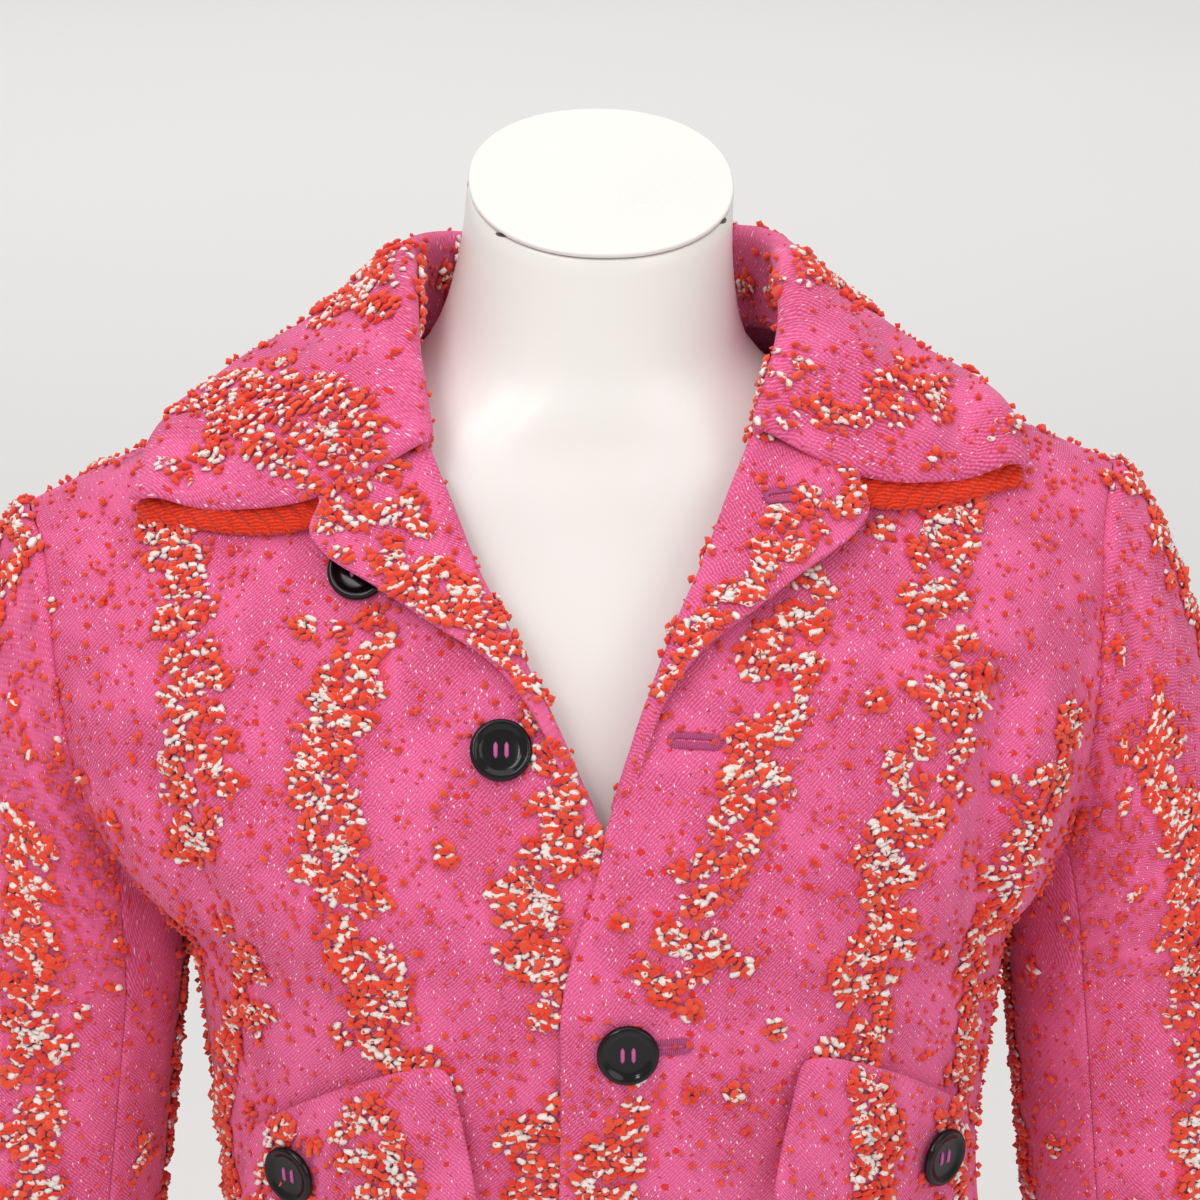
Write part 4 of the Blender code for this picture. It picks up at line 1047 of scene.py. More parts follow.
torsoLines = {
    "left": [
        (0.020, (0.086, 0.612), (0.070, 0.586), (0.068, 0.562), (0.056, 0.540), (0.046, 0.520),
         (0.032, 0.502), (0.028, 0.482), (0.016, 0.462)),
        (0.024, (0.146, 0.640), (0.132, 0.594), (0.140, 0.565), (0.124, 0.538), (0.106, 0.508),
         (0.104, 0.474), (0.087, 0.450), (0.092, 0.420)),
        (0.013, (0.188, 0.552), (0.165, 0.512), (0.150, 0.485), (0.140, 0.441), (0.136, 0.400),
         (0.128, 0.350)),
        (0.020, (-0.004, 0.415), (-0.010, 0.380), (0.002, 0.345), (-0.006, 0.300), (0.004, 0.262),
         (-0.002, 0.228)),
        (0.022, (0.090, 0.400), (0.076, 0.365), (0.088, 0.330), (0.074, 0.290), (0.086, 0.250),
         (0.078, 0.228)),
        (0.020, (0.142, 0.320), (0.130, 0.285), (0.138, 0.250), (0.130, 0.230)),
    ],
    "right": [
        (0.022, (0.160, 0.640), (0.154, 0.606), (0.150, 0.574), (0.153, 0.536), (0.158, 0.508)),
        (0.021, (0.085, 0.600), (0.094, 0.574), (0.105, 0.550), (0.103, 0.520), (0.099, 0.480),
         (0.090, 0.450), (0.075, 0.428), (0.082, 0.395)),
        (0.020, (0.018, 0.580), (0.014, 0.556), (0.012, 0.530), (0.031, 0.507), (0.030, 0.472),
         (0.023, 0.456)),
        (0.014, (0.145, 0.480), (0.138, 0.449), (0.149, 0.412), (0.150, 0.372), (0.140, 0.330),
         (0.148, 0.290), (0.138, 0.250), (0.144, 0.228)),
        (0.022, (0.038, 0.414), (0.026, 0.382), (0.040, 0.345), (0.028, 0.305), (0.042, 0.265),
         (0.030, 0.228)),
        (0.020, (0.096, 0.350), (0.084, 0.315), (0.098, 0.275), (0.086, 0.228)),
    ],
    "back": [
        (0.022, (0.022, 0.640), (0.012, 0.590), (0.030, 0.535), (0.016, 0.480), (0.034, 0.425),
         (0.018, 0.370), (0.030, 0.315), (0.014, 0.265), (0.024, 0.228)),
        (0.024, (0.092, 0.640), (0.108, 0.595), (0.090, 0.545), (0.104, 0.490), (0.086, 0.430),
         (0.100, 0.375), (0.084, 0.320), (0.096, 0.270), (0.088, 0.228)),
        (0.016, (0.165, 0.620), (0.152, 0.570), (0.164, 0.520), (0.146, 0.470), (0.150, 0.410),
         (0.140, 0.350), (0.148, 0.290), (0.140, 0.230)),
        (0.022, (-0.052, 0.660), (-0.066, 0.610), (-0.050, 0.555), (-0.068, 0.500), (-0.052, 0.440),
         (-0.066, 0.385), (-0.050, 0.330), (-0.064, 0.275), (-0.054, 0.228)),
        (0.022, (-0.122, 0.650), (-0.112, 0.600), (-0.130, 0.550), (-0.114, 0.495), (-0.128, 0.440),
         (-0.112, 0.380), (-0.126, 0.320), (-0.112, 0.265), (-0.120, 0.228)),
        (0.012, (-0.180, 0.600), (-0.170, 0.560), (-0.178, 0.515)),
    ],
}


belowRidge, atRidge = 2.0e-6, 2.0e-9          # a panel stays under the ridge; its seam row meets the other's


def panelGrid(name, facing, s, t, inner, outer, lift):
    # a panel between an inner and an outer edge; s goes down it and t across
    innerX, innerZ = (value[:, None] for value in inner)
    outerX, outerZ = (value[:, None] for value in outer)
    t = t[None, :]
    z = innerZ + (outerZ - innerZ) * t
    x = xAt(angleOf(innerX, innerZ) * (1 - t) + angleOf(outerX, outerZ) * t, z)
    firstX = innerX[0] + (outerX[0] - innerX[0]) * t[0]
    x = x + (firstX - x[0]) * np.clip(1 - s[:, None] / panels["shoulderFade"], 0.0, 1.0)
    z = np.minimum(z, shoulderHeight(x) - belowRidge)
    z[0] = shoulderHeight(x[0]) - atRidge
    total = lift(x, z) + creased(name, x, z) + panels["wall"] / 2
    return liftedOnTorso(x, z, facing, total), torsoCloth(x, z, facing)


def makeFront(side):
    s = joined(edged(0, panels["neck"], 0.045, last=False),
               edged(panels["neck"], panels["break"], 0.140, first=False, last=False),
               edged(panels["break"], panels["armhole"], 0.055, first=False, last=False),
               edged(panels["armhole"], 1.0, 0.232, first=False))
    t = edged(0.0, 1.0, 0.215)
    name = "front" + side.title()
    lift = overFront if side == "left" else (lambda x, z: np.zeros_like(x))
    grid, cloth = sided(side, *panelGrid(name, -1, s, t, frontEdge(s), sideEdge(s, -1), lift))
    panel = makeWall("front_" + side + "_cloth", standing(grid), cloth, panels["wall"], tweed)
    bands = sidedBands(side, torsoBands(torsoLines[side], -1))
    finishPiece(name, panel, "front_" + side, bands, 11 + (side == "right"))


def backHalf(name, s, t):
    share = panels["backNeck"]
    outerX, outerZ = sideEdge(s, 1)
    at = 0.5 * np.clip(t / share, 0.0, 1.0)
    neckReach = smooth(collar, "footReach", at) * ease((share - t) / panels["neckFade"])
    alongSeam = np.clip((t - share) / (1 - share), 0.0, 1.0)
    seamX = torso["sideNeck"][0] + (torso["shoulderTipX"] - torso["sideNeck"][0]) * alongSeam
    topX = np.where(t < share, smooth(collar, "footX", at), seamX)
    reach = np.where(t < share, neckReach, 0.0)
    topZ = shoulderHeight(topX) - (shoulderHeight(topX) - torso["chestZ"]) * reach ** torso["roundness"]
    drop = (outerZ[0] - outerZ) / (outerZ[0] - outerZ[-1])
    z = topZ[None, :] + (torso["hemZ"] - topZ[None, :]) * drop[:, None]
    blend = ease(drop / panels["backFade"])[:, None]
    angle = angleOf(topX, topZ)[None, :] * (1 - blend) + t[None, :] * math.pi / 2 * blend
    angle = angle * (angleOf(outerX, outerZ)[:, None] / angle[:, -1:])
    x = xAt(angle, z)
    x[0] = topX
    z = np.minimum(z, shoulderHeight(x) - belowRidge)
    z[0] = np.minimum(topZ, shoulderHeight(topX) - atRidge)
    fade = ease(np.abs(x) / panels["centreFade"])          # no crease where the halves meet
    total = creased(name, x, z) * fade + panels["wall"] / 2
    return liftedOnTorso(x, z, 1, total), torsoCloth(x, z, 1)


def makeBack():
    step = panels["backStep"]
    s = joined(edged(0, panels["armhole"], 0.245, step, last=False),
               edged(panels["armhole"], 1.0, 0.232, step, first=False))
    t = joined(edged(0, panels["backNeck"], 0.085, step, first=False, last=False),
               edged(panels["backNeck"], 1.0, 0.150, step, first=False))
    left, leftCloth = backHalf("backLeft", s, t)
    right, rightCloth = backHalf("backRight", s, t)
    for grid in (left, right):
        grid[:, 0, 0] = 0.0
    middle = (left[:, 0] + right[:, 0]) / 2
    left[:, 0] = right[:, 0] = middle
    grid = np.concatenate((mirror(right)[:, :-1], left), axis=1)
    cloth = np.concatenate((mirror(rightCloth)[:, :-1], leftCloth), axis=1)
    panel = makeWall("back_cloth", standing(grid), cloth, panels["wall"], tweed)
    finishPiece("back", panel, "back", torsoBands(torsoLines["back"], 1), 13)


makeFront("left")
makeFront("right")
makeBack()


# Sleeves as if on the left, from the underarm down to the cuff: the tube's middle, its half sizes and seams.
sleeves = {
    "z": (0.440, 0.360, 0.270, 0.160, 0.060),
    "x": (0.2225, 0.2290, 0.2350, 0.2350, 0.2310),
    "y": (0.0, -0.002, -0.006, -0.026, -0.048),
    "halfWidth": (0.0520, 0.0505, 0.0465, 0.0415, 0.0380),
    "halfDepth": (0.0610, 0.0565, 0.0515, 0.0455, 0.0410),
    "capShare": 0.36, "frontSeam": 126, "backSeam": -115, "step": 0.0052, "centre": (0.232, -0.02, 0.30),
    "headRidge": 0.0024, "ridgeRun": 0.040,
    "otherSide": 0.03,               # the right one's creases are shifted this far round
    # how the cap bends between armhole and tube, and shares over which creases and ridge fade in and out
    "capBend": (0.62, 0.62, 0.15), "fadeIn": 0.06, "fadeOut": 0.04, "ridgeFade": 0.012,
}

sleeveBands = {          # across from the middle of the piece, and down from the armhole
    "topLeft": [
        (0.024, (0.004, 0.0), (-0.006, 0.05), (0.008, 0.11), (-0.004, 0.17), (0.010, 0.23), (-0.006, 0.30),
         (0.006, 0.37), (-0.004, 0.44), (0.006, 0.60)),
        (0.020, (0.066, 0.09), (0.058, 0.16), (0.070, 0.23), (0.056, 0.31), (0.062, 0.40), (0.052, 0.60)),
        (0.020, (-0.070, 0.06), (-0.062, 0.14), (-0.074, 0.22), (-0.060, 0.31), (-0.066, 0.42),
         (-0.056, 0.60)),
    ],
    "topRight": [
        (0.032, (0.004, 0.0), (0.018, 0.06), (0.014, 0.12), (0.026, 0.19), (0.014, 0.26), (0.024, 0.34),
         (0.012, 0.42), (0.020, 0.60)),
        (0.017, (0.080, 0.08), (0.076, 0.17), (0.084, 0.25), (0.074, 0.34), (0.078, 0.43), (0.068, 0.60)),
        (0.021, (-0.052, 0.06), (-0.042, 0.17), (-0.056, 0.28), (-0.044, 0.38), (-0.050, 0.60)),
    ],
    "under": [
        (0.020, (0.002, 0.0), (-0.008, 0.06), (0.006, 0.12), (-0.006, 0.19), (0.008, 0.26), (-0.004, 0.34),
         (0.004, 0.43)),
    ],
}


def sleevePoint(turn, s):
    # a sleeve's surface: round it from the top by the front, and down it from the armhole
    turn, s = np.broadcast_arrays(np.asarray(turn, float), np.asarray(s, float))
    low = (1 - np.cos(turn)) / 2
    start = armhole(turn) + points(0.0002 + 0.0052 * low ** 1.5, 0.0, 0.0)
    topZ = sleeves["z"][0]
    end = points(sleeves["x"][0] + sleeves["halfWidth"][0] * np.cos(turn),
                 sleeves["y"][0] - sleeves["halfDepth"][0] * np.sin(turn), topZ)
    bend = start + (end - start) * np.array(sleeves["capBend"])
    u = np.clip(s / sleeves["capShare"], 0.0, 1.0)[..., None]
    cap = start * (1 - u) ** 2 + bend * 2 * u * (1 - u) + end * u ** 2
    below = np.clip((s - sleeves["capShare"]) / (1 - sleeves["capShare"]), 0.0, 1.0)
    z = topZ + (sleeves["z"][-1] - topZ) * below
    x = smooth(sleeves, "x", z) + smooth(sleeves, "halfWidth", z) * np.cos(turn)
    y = smooth(sleeves, "y", z) - smooth(sleeves, "halfDepth", z) * np.sin(turn)
    return np.where((s < sleeves["capShare"])[..., None], cap, points(x, y, z))


def makeSleeves():
    front, back = math.radians(sleeves["frontSeam"]), math.radians(sleeves["backSeam"])
    cap = sleeves["capShare"]
    step, centre = sleeves["step"], np.array(sleeves["centre"])
    s = joined(edged(0, cap, 0.205, step, last=False), edged(cap, 1.0, 0.382, step, first=False))
    runs = {"top": edged(back, front, 0.210, step), "under": edged(front, back + 2 * math.pi, 0.115, step)}
    for side in ("left", "right"):
        for part, turns in runs.items():
            turn, share = np.broadcast_arrays(turns[None, ::-1], s[:, None])
            grid = sleevePoint(turn, share)
            around = (turn + math.pi) % (2 * math.pi) - math.pi
            shift = 0.0 if side == "left" else sleeves["otherSide"]
            rise = creased("sleeve", around / 10 + shift, share)
            rise = rise * ease(share / sleeves["fadeIn"]) * ease((1 - share) / sleeves["fadeOut"])
            ridge = ease(share / sleeves["ridgeFade"]) * np.exp(-(share / sleeves["ridgeRun"]) ** 2)
            rise = rise + sleeves["headRidge"] * ridge
            grid = grid + gridNormals(grid, centre) * (rise + panels["wall"] / 2)[..., None]
            grid, cloth = sided(side, grid, clothCoordinates(grid))
            node = "sleeve_" + part + "_" + side
            panel = makeWall(node + "_cloth", standing(grid), cloth, panels["wall"], tweed,
                             centre * ([-1, 1, 1] if side == "right" else 1))
            bands = sleeveBands["under" if part == "under" else "top" + side.title()]
            finishPiece("sleeve" + part.title() + side.title(), panel, node, bands,
                        {"top": 21, "under": 31}[part] + (side == "right"))


makeSleeves()
print("fronts, back and sleeves made")


def collarPoint(at, across, lift):
    # the stand has across from -1 to 0, and the fall from 0 at the roll to 1 at the edge
    at, across = np.broadcast_arrays(np.asarray(at, float), np.asarray(across, float))
    out = np.clip(across, 0.0, 1.0)
    columns = ("footX", "footReach", "edgeX", "edgeReach", "dip", "inX", "inY", "rise")
    footX, footReach, edgeX, edgeReach, dip, inX, inY, up = [smooth(collar, column, at) for column in columns]
    x = footX + (edgeX - footX) * out
    beyond = np.clip(at - 1, 0.0, None) * collar["beyond"]
    reach = footReach + (edgeReach - footReach) * out - dip * np.sin(math.pi * out) - beyond
    rise = points(inX, inY, up)
    share = np.where(across < 0, 1 + across, (1 - out) ** collar["fallPower"])
    return lifted(overShoulder, x, reach, lift) + rise * share[..., None]


def softened(grid, weight, rounds):
    # rounds off a fold that runs along the columns
    for _ in range(rounds):
        middle = (grid[:, :-2] + grid[:, 2:]) / 2
        grid[:, 1:-1] += (middle - grid[:, 1:-1]) * 0.5 * weight[None, 1:-1, None]
    return grid


def bothSides(right, left):
    # one run from the right end to the left; both halves are given as if on the left
    left = left.copy()
    left[0] = (left[0] + right[0]) / 2
    left[0, :, 0] = 0.0
    return np.concatenate(((right * np.array([-1.0, 1.0, 1.0]))[:0:-1], left), axis=0)


collarBands = [          # along the collar, -1 to 1 from gorge to gorge, and across it from roll 0 to edge 1
    (0.022, (-0.45, 0.10), (-0.60, 0.05), (-0.76, 0.03)),
    (0.018, (-0.48, 0.36), (-0.62, 0.30)),
    (0.042, (-0.79, 0.76), (-0.86, 0.52), (-0.93, 0.30), (-0.99, 0.10)),
    (0.011, (-0.975, 0.94), (-0.95, 0.88)),
    (0.018, (0.36, 0.05), (0.45, 0.30), (0.53, 0.52)),
    (0.011, (0.56, 0.03), (0.66, 0.02)),
    (0.011, (0.86, 0.02), (0.96, 0.04)),
    (0.017, (0.95, 0.10), (0.92, 0.30), (0.87, 0.52), (0.81, 0.76)),
    (0.011, (0.90, 0.96), (0.94, 0.91)),
    (0.022, (-0.22, 0.12), (-0.26, 0.50), (-0.20, 0.97)),
    (0.022, (0.14, 0.10), (0.09, 0.50), (0.16, 0.97)),
    (0.020, (-0.44, 0.66), (-0.41, 0.97)),
    (0.020, (0.34, 0.74), (0.38, 0.97)),
    (0.016, (0.30, -0.65), (0.34, -0.15)),
    (0.016, (-0.36, -0.70), (-0.33, -0.10)),
]


def bandsOnGrid(cloth, rowKeys, columnKeys, bands):
    # bands given by the grid's own shares, laid out on the flat cloth
    made = []
    for width, *line in bands:
        spots = [cloth[np.argmin(np.abs(rowKeys - row)), np.argmin(np.abs(columnKeys - column))]
                 for row, column in line]
        made.append((width, *[tuple(spot) for spot in spots]))
    return made


def clothAlong(grid):
    # flat-pattern coordinates of a grid whose rows run across the cloth
    return clothCoordinates(grid.transpose(1, 0, 2)).transpose(1, 0, 2)


def makeCollar():
    at = edged(0.0, 1.0, collar["length"], first=False)
    across = joined(edged(-1.22, 0.0, 0.044, 0.0022, last=False),
                    edged(0.0, 1.0, collar["fall"], 0.0032, first=False))
    low = np.clip(-across, 0.0, 1.0)
    fromEdge = (1 - np.clip(across, 0.0, 1.0)) * collar["fall"]
    plain = collar["lift"] + (collar["standLift"] - collar["lift"]) * low
    inFront = ease((at[:, None] - collar["swellFrom"]) / collar["swellRun"])
    swollen = sum(rise * np.exp(-((fromEdge - place) / width) ** 2)
                  for rise, place, width in collar["swellings"])
    plain = plain[None, :] + inFront * swollen[None, :]
    halves = []
    for name in ("collarRight", "collarLeft"):
        down = np.clip(across, 0.0, 1.0)[None, :] * collar["fall"]
        dents = creased(name, at[:, None] * collar["length"], down)
        half = collarPoint(at[:, None], across[None, :], plain + dents * (across >= 0))
        halves.append(softened(half, np.exp(-(across / collar["softWidth"]) ** 2), collar["softRounds"]))
    grid = standing(bothSides(*halves))
    cloth = clothAlong(grid)
    panel = makeWall("collar_top_cloth", grid, cloth, collar["wall"], tweed, collar["centre"], collar["rim"])
    bands = bandsOnGrid(cloth, np.concatenate((-at[:0:-1], at)), across, collarBands)
    finishPiece("collarTop", panel, "collar_top", bands, 41,
                grain=math.pi / 2)


def makeUndercollar():
    # ribbed knit whose ribs slant across the band that shows
    fineAt, fineAcross = collar["fineFrom"], collar["fineAcross"]
    at = joined(edged(0.0, fineAt, 0.185, 0.006, first=False, last=False),
                edged(fineAt, 1 + collar["underReach"], 0.036, 0.0008, first=False))
    across = joined(edged(collar["underInner"], fineAcross, 0.007, 0.003, last=False),
                    edged(fineAcross, 0.995, 0.058, 0.0009, first=False))
    grid = collarPoint(at[:, None], across[None, :], np.full((len(at), len(across)), collar["underLift"]))
    turns = (across[None, :] * collar["fall"] / collar["ribAcross"]
             + at[:, None] * collar["length"] / collar["ribAlong"])
    shown = ease((at[:, None] - collar["ribFrom"]) / collar["ribRun"])
    ribs = collar["ribRise"] * np.sin(2 * math.pi * turns) * shown
    grid = grid + gridNormals(grid, np.array(torso["centre"])) * ribs[..., None]
    grid = standing(bothSides(grid, grid))
    panel = makeWall("collar_under_knit", grid, clothAlong(grid), collar["underWall"], knit,
                     rim=collar["underRim"])
    finishPiece("collarUnder", panel, "collar_under")


makeCollar()
makeUndercollar()


lapelBands = {          # out from the roll's edge, and down the lapel
    "left": [(0.018, (0.042, 0.020), (0.028, 0.045), (0.016, 0.072), (0.008, 0.125)),
             (0.010, (0.004, 0.004), (0.004, 0.024))],
    "right": [(0.032, (0.030, 0.010), (0.026, 0.040)),
              (0.022, (0.020, 0.050), (0.013, 0.085), (0.006, 0.130))],
}


def makeLapel(side):
    along = joined(edged(-0.09, 0.0, 0.012, 0.003, last=False), edged(0.0, 1.0, 0.140, 0.0032, first=False))
    along = along[:, None]
    across = edged(0.0, 1.0, 0.045, 0.0026, first=False)[None, :]
    columns = ("rollX", "rollZ", "edgeX", "edgeZ")
    rollX, rollZ, edgeX, edgeZ = [smooth(lapel, column, along) for column in columns]
    x = rollX + 0.001 * (1 - across) + (edgeX - rollX) * across
    z = rollZ + (edgeZ - rollZ) * across
    under = np.clip(-along, 0.0, None)          # this much goes up under the collar
    x, z = x + lapel["underX"] * under, z + lapel["underZ"] * under
    lift = lapel["lift"] + (lapel["cornerLift"] - lapel["lift"]) * across ** 0.6 * (1 - along) ** 0.7
    lift = lift + creased("front" + side.title(), x, z) + (overFront(x, z) if side == "left" else 0.0)
    # it goes down to the front at the break, and under the collar at the top
    lift = lift - lapel["breakDrop"] * ease((along - lapel["breakFrom"]) / lapel["breakRun"])
    lift = lift - lapel["underDrop"] * ease(under / lapel["underLength"])
    face = liftedOnTorso(x, z, -1, lift)
    # the roll: half a turn from the face, round the edge, to behind the front
    normals = gridNormals(face, np.array(torso["centre"]))[:, :1]
    inward = unit(face[:, :1] - face[:, 2:3])
    full = ease(along[:, :, None] * 6) * ease((1 - along[:, :, None]) * 5)          # finer at both ends
    radius = lapel["rollRadius"] * (0.45 + 0.55 * full)
    turns = np.linspace(math.pi, 0.0, lapel["rollSteps"] + 1)[:-1]
    centre = face[:, :1] - normals * radius
    roll = centre + radius * (normals * np.cos(turns)[None, :, None] + inward * np.sin(turns)[None, :, None])
    grid = np.concatenate((roll, face), axis=1)
    cloth = clothCoordinates(grid)
    cloth[..., 0] -= cloth[:, lapel["rollSteps"], None, 0]
    grid, cloth = sided(side, grid, cloth)
    panel = makeWall("lapel_" + side + "_cloth", standing(grid), cloth, lapel["wall"], tweed,
                     rim=lapel["rim"])
    finishPiece("lapel" + side.title(), panel, "lapel_" + side,
                sidedBands(side, lapelBands[side]), 51 + (side == "right"))


makeLapel("left")
makeLapel("right")


# Pockets and flaps are made as if on the left: edges across and up, how the outer side drops, and sizes.
pocket = {"innerX": 0.064, "outerX": 0.141, "topZ": 0.424, "outerDrop": 0.040, "dropPower": 1.2,
          "bottomZ": 0.300, "splayIn": 0.0, "splayOut": 0.0, "flare": 0.0, "lift": 0.0042, "wall": 0.0026,
          "length": 0.110, "bulge": 0.0016}
flap = {"innerX": 0.0655, "outerX": 0.1405, "topZ": 0.438, "outerDrop": 0.0425, "dropPower": 1.3,
        "depth": 0.060, "splayIn": 0.10, "splayOut": 0.20, "flare": 0.003, "lift": 0.0080, "wall": 0.0038,
        "length": 0.060, "stitchDrop": 0.0022, "stitchRun": 0.07,
        "cornerRise": 0.0024, "cornerShare": 0.2, "cornerFrom": 0.6, "outerCorner": 0.6}
patch = {"width": 0.090, "step": 0.0035, "rim": 0.0022, "squeeze": 0.07, "squareness": 12}


def patchGrid(size, side, rows, columns):
    # a pocket or flap on the torso, its corners rounded by squeezing the grid there
    across, down = np.meshgrid(columns, rows)
    squeeze, power = patch["squeeze"], patch["squareness"]
    across, down = (0.5 + (across - 0.5) * (1 - squeeze * np.abs(2 * down - 1) ** power),
                    0.5 + (down - 0.5) * (1 - squeeze * np.abs(2 * across - 1) ** power))
    inner, outer = angleOf(size["innerX"], size["topZ"]), angleOf(size["outerX"], size["topZ"])
    splay = (size["splayIn"] + size["splayOut"]) * across - size["splayIn"]
    angle = inner + (outer - inner) * (across + splay * down)
    top = size["topZ"] - size["outerDrop"] * across ** size["dropPower"]
    depth = size["depth"] + 0 * top if "depth" in size else top - size["bottomZ"]
    z = top - depth * down
    x = xAt(angle, z)
    lift = size["lift"] + size["flare"] * down + overFront(x, z) + creased("front" + side.title(), x, z)
    return x, z, lift


patchBands = {          # across from the patch's middle, and down from its top
    "pocketLeft": [(0.022, (0.020, 0.040), (0.010, 0.080), (0.022, 0.120)),
                   (0.018, (-0.028, 0.050), (-0.022, 0.120))],
    "pocketRight": [(0.022, (-0.016, 0.040), (-0.024, 0.080), (-0.012, 0.120)),
                    (0.018, (0.026, 0.060), (0.020, 0.120))],
    "flapLeft": [(0.020, (-0.026, 0.004), (-0.018, 0.030), (-0.024, 0.060)),
                 (0.018, (0.030, 0.004), (0.034, 0.060))],
    "flapRight": [(0.022, (0.012, 0.004), (0.022, 0.030), (0.030, 0.060)),
                  (0.018, (-0.032, 0.004), (-0.030, 0.060))],
}


def makePatch(kind, side, size, seed):
    rows = edged(0.0, 1.0, size["length"], patch["step"])
    columns = edged(0.0, 1.0, patch["width"], patch["step"])
    x, z, lift = patchGrid(size, side, rows, columns)
    down, across = rows[:, None], columns[None, :]
    if kind == "flap":
        # the stitched top edge is pressed down, and the corners lift a little
        lift = lift - size["stitchDrop"] * np.exp(-(down / size["stitchRun"]) ** 2)
        wide, low = size["cornerShare"], size["cornerFrom"]
        corners = ease((wide - across) / wide) + size["outerCorner"] * ease((across - (1 - wide)) / wide)
        lift = lift + size["cornerRise"] * ease((down - low) / (1 - low)) * corners
    else:
        full = np.sin(math.pi * across) * np.sin(math.pi * np.clip(down * 0.9 + 0.05, 0, 1))
        lift = lift + size["bulge"] * full
    grid = liftedOnTorso(x, z, -1, lift)
    grid, cloth = sided(side, grid, clothCoordinates(grid))
    node, key = kind + "_" + side, kind + side.title()
    panel = makeWall(node + "_cloth", standing(grid), cloth, size["wall"], tweed, rim=patch["rim"])
    finishPiece(key, panel, node, patchBands[key], seed)


for number, side in enumerate(("left", "right")):
    makePatch("pocket", side, pocket, 61 + number)
    makePatch("flap", side, flap, 63 + number)
print("pockets and flaps laid on")


buttons = {
    "radius": 0.012, "depth": 0.0038, "rim": 0.0028, "seat": 0.0026, "holeSpacing": 0.0042, "steps": 64,
    "stitchHeight": 0.0025,
    "stitch": {"Bar Length": 0.0076, "Bar Width": 0.0019, "Bar Height": 0.0016, "Bar Bend": 0.10,
               "Bar Taper": 0.0, "Lumpiness": 0.0001, "Sides": 12},
    "places": {          # x, height, lift of the cloth below
        "button_1": (-0.0880, 0.6195, 0.0), "button_2": (-0.0370, 0.557, 0.0),
        "button_3": (0.0, 0.443, 0.0034), "button_4": (0.0, 0.329, 0.0034),
        "button_flap_left": (0.1185, 0.385, 0.0098), "button_flap_right": (-0.1185, 0.385, 0.0098),
    },
}


def seatFrame(x, z, lift):
    # a point above the torso, with the way out, across and up there
    spot = np.array([x]), np.array([z])
    seat = liftedOnTorso(*spot, -1, np.array([lift]))[0]
    out = unit(seat - onTorso(*spot, -1)[0])
    across = unit(np.cross(np.array([0.0, 0.0, 1.0]), out))
    return standing(seat), out, across, np.cross(out, across)


def turnedProfile(profile, steps, seat, out, across, up):
    # a profile of radius and height, turned about the way out
    turns = np.linspace(0, 2 * math.pi, steps, endpoint=False)
    vertices, rings = [], []
    for radius, height in profile:
        if radius == 0.0:
            rings.append([len(vertices)] * steps)
            vertices.append(seat + out * height)
            continue
        rings.append(list(range(len(vertices), len(vertices) + steps)))
        vertices += [seat + out * height + radius * (across * math.cos(a) + up * math.sin(a)) for a in turns]
    faces = []
    for low, high in zip(rings[:-1], rings[1:]):
        for i in range(steps):
            j = (i + 1) % steps
            faces.append(list(dict.fromkeys((low[i], low[j], high[j], high[i]))))
    return vertices, faces


def sew(name, places, out, along, material, sizes):
    # one bar of thread at each place
    count = len(places)
    spots = {"place": np.array(places), "out": np.tile(out, (count, 1)), "along": np.array(along),
             "size": np.ones((count, 3)), "shape": np.ones(count), "tone": np.ones(count),
             "shade": np.linspace(0.2, 0.9, count)}
    onBody(growTufts(name, spots, material, sizes))


def makeButton(node, x, z, clothLift):
    r, rim, deep = buttons["radius"], buttons["rim"], buttons["depth"]
    seat, out, across, up = seatFrame(x, z, buttons["seat"] + clothLift)
    profile = [(0.0, 0.0), (r * 0.78, 0.0), (r * 0.90, 0.0003), (r * 0.97, 0.0009), (r, 0.0018),
               (r * 0.992, 0.0026), (r * 0.965, 0.0032), (r * 0.925, deep), (r - rim * 0.62, deep * 1.01),
               (r - rim * 0.86, deep * 0.96), (r - rim - 0.0006, 0.0029), (r - rim - 0.0014, 0.0025),
               (r - rim - 0.0026, 0.00235), (r * 0.35, 0.0023), (0.0, 0.00225)]
    vertices, faces = turnedProfile(profile, buttons["steps"], seat, out, across, up)
    onBody(meshObject(node + "_disc", vertices, faces, blackGloss), node)
    # two parallel stitches through four holes
    gap, top = buttons["holeSpacing"], seat + out * buttons["stitchHeight"]
    places = [top + across * (-gap / 2 + offset) for offset in (0.0, gap)]
    sew(node + "_stitches", places, out, [up, up], pinkThread, buttons["stitch"])


for node, (x, z, clothLift) in buttons["places"].items():
    makeButton(node, x, z, clothLift)


buttonholes = {          # which piece, x and height on the upright figure, length, slope
    "lapel_buttonhole": ("lapelLeft", 0.0748, 0.6430, 0.017, 0.10),
    "front_buttonhole": ("frontLeft", 0.0380, 0.5586, 0.019, -0.10),
    "closed_buttonhole": ("frontLeft", 0.0150, 0.4430, 0.020, 0.02),
    "lower_buttonhole": ("frontLeft", 0.0150, 0.3290, 0.020, 0.02),
}
buttonholeStitch = {"Bar Length": 0.0034, "Bar Width": 0.00095, "Bar Height": 0.0013, "Bar Bend": 0.12,
                    "Bar Taper": 0.0, "Lumpiness": 0.00012, "Sides": 8}
buttonholeSewing = {"halfWidth": 0.0019, "height": 0.0004, "count": 21, "endCount": 7, "endTurn": 1.2}


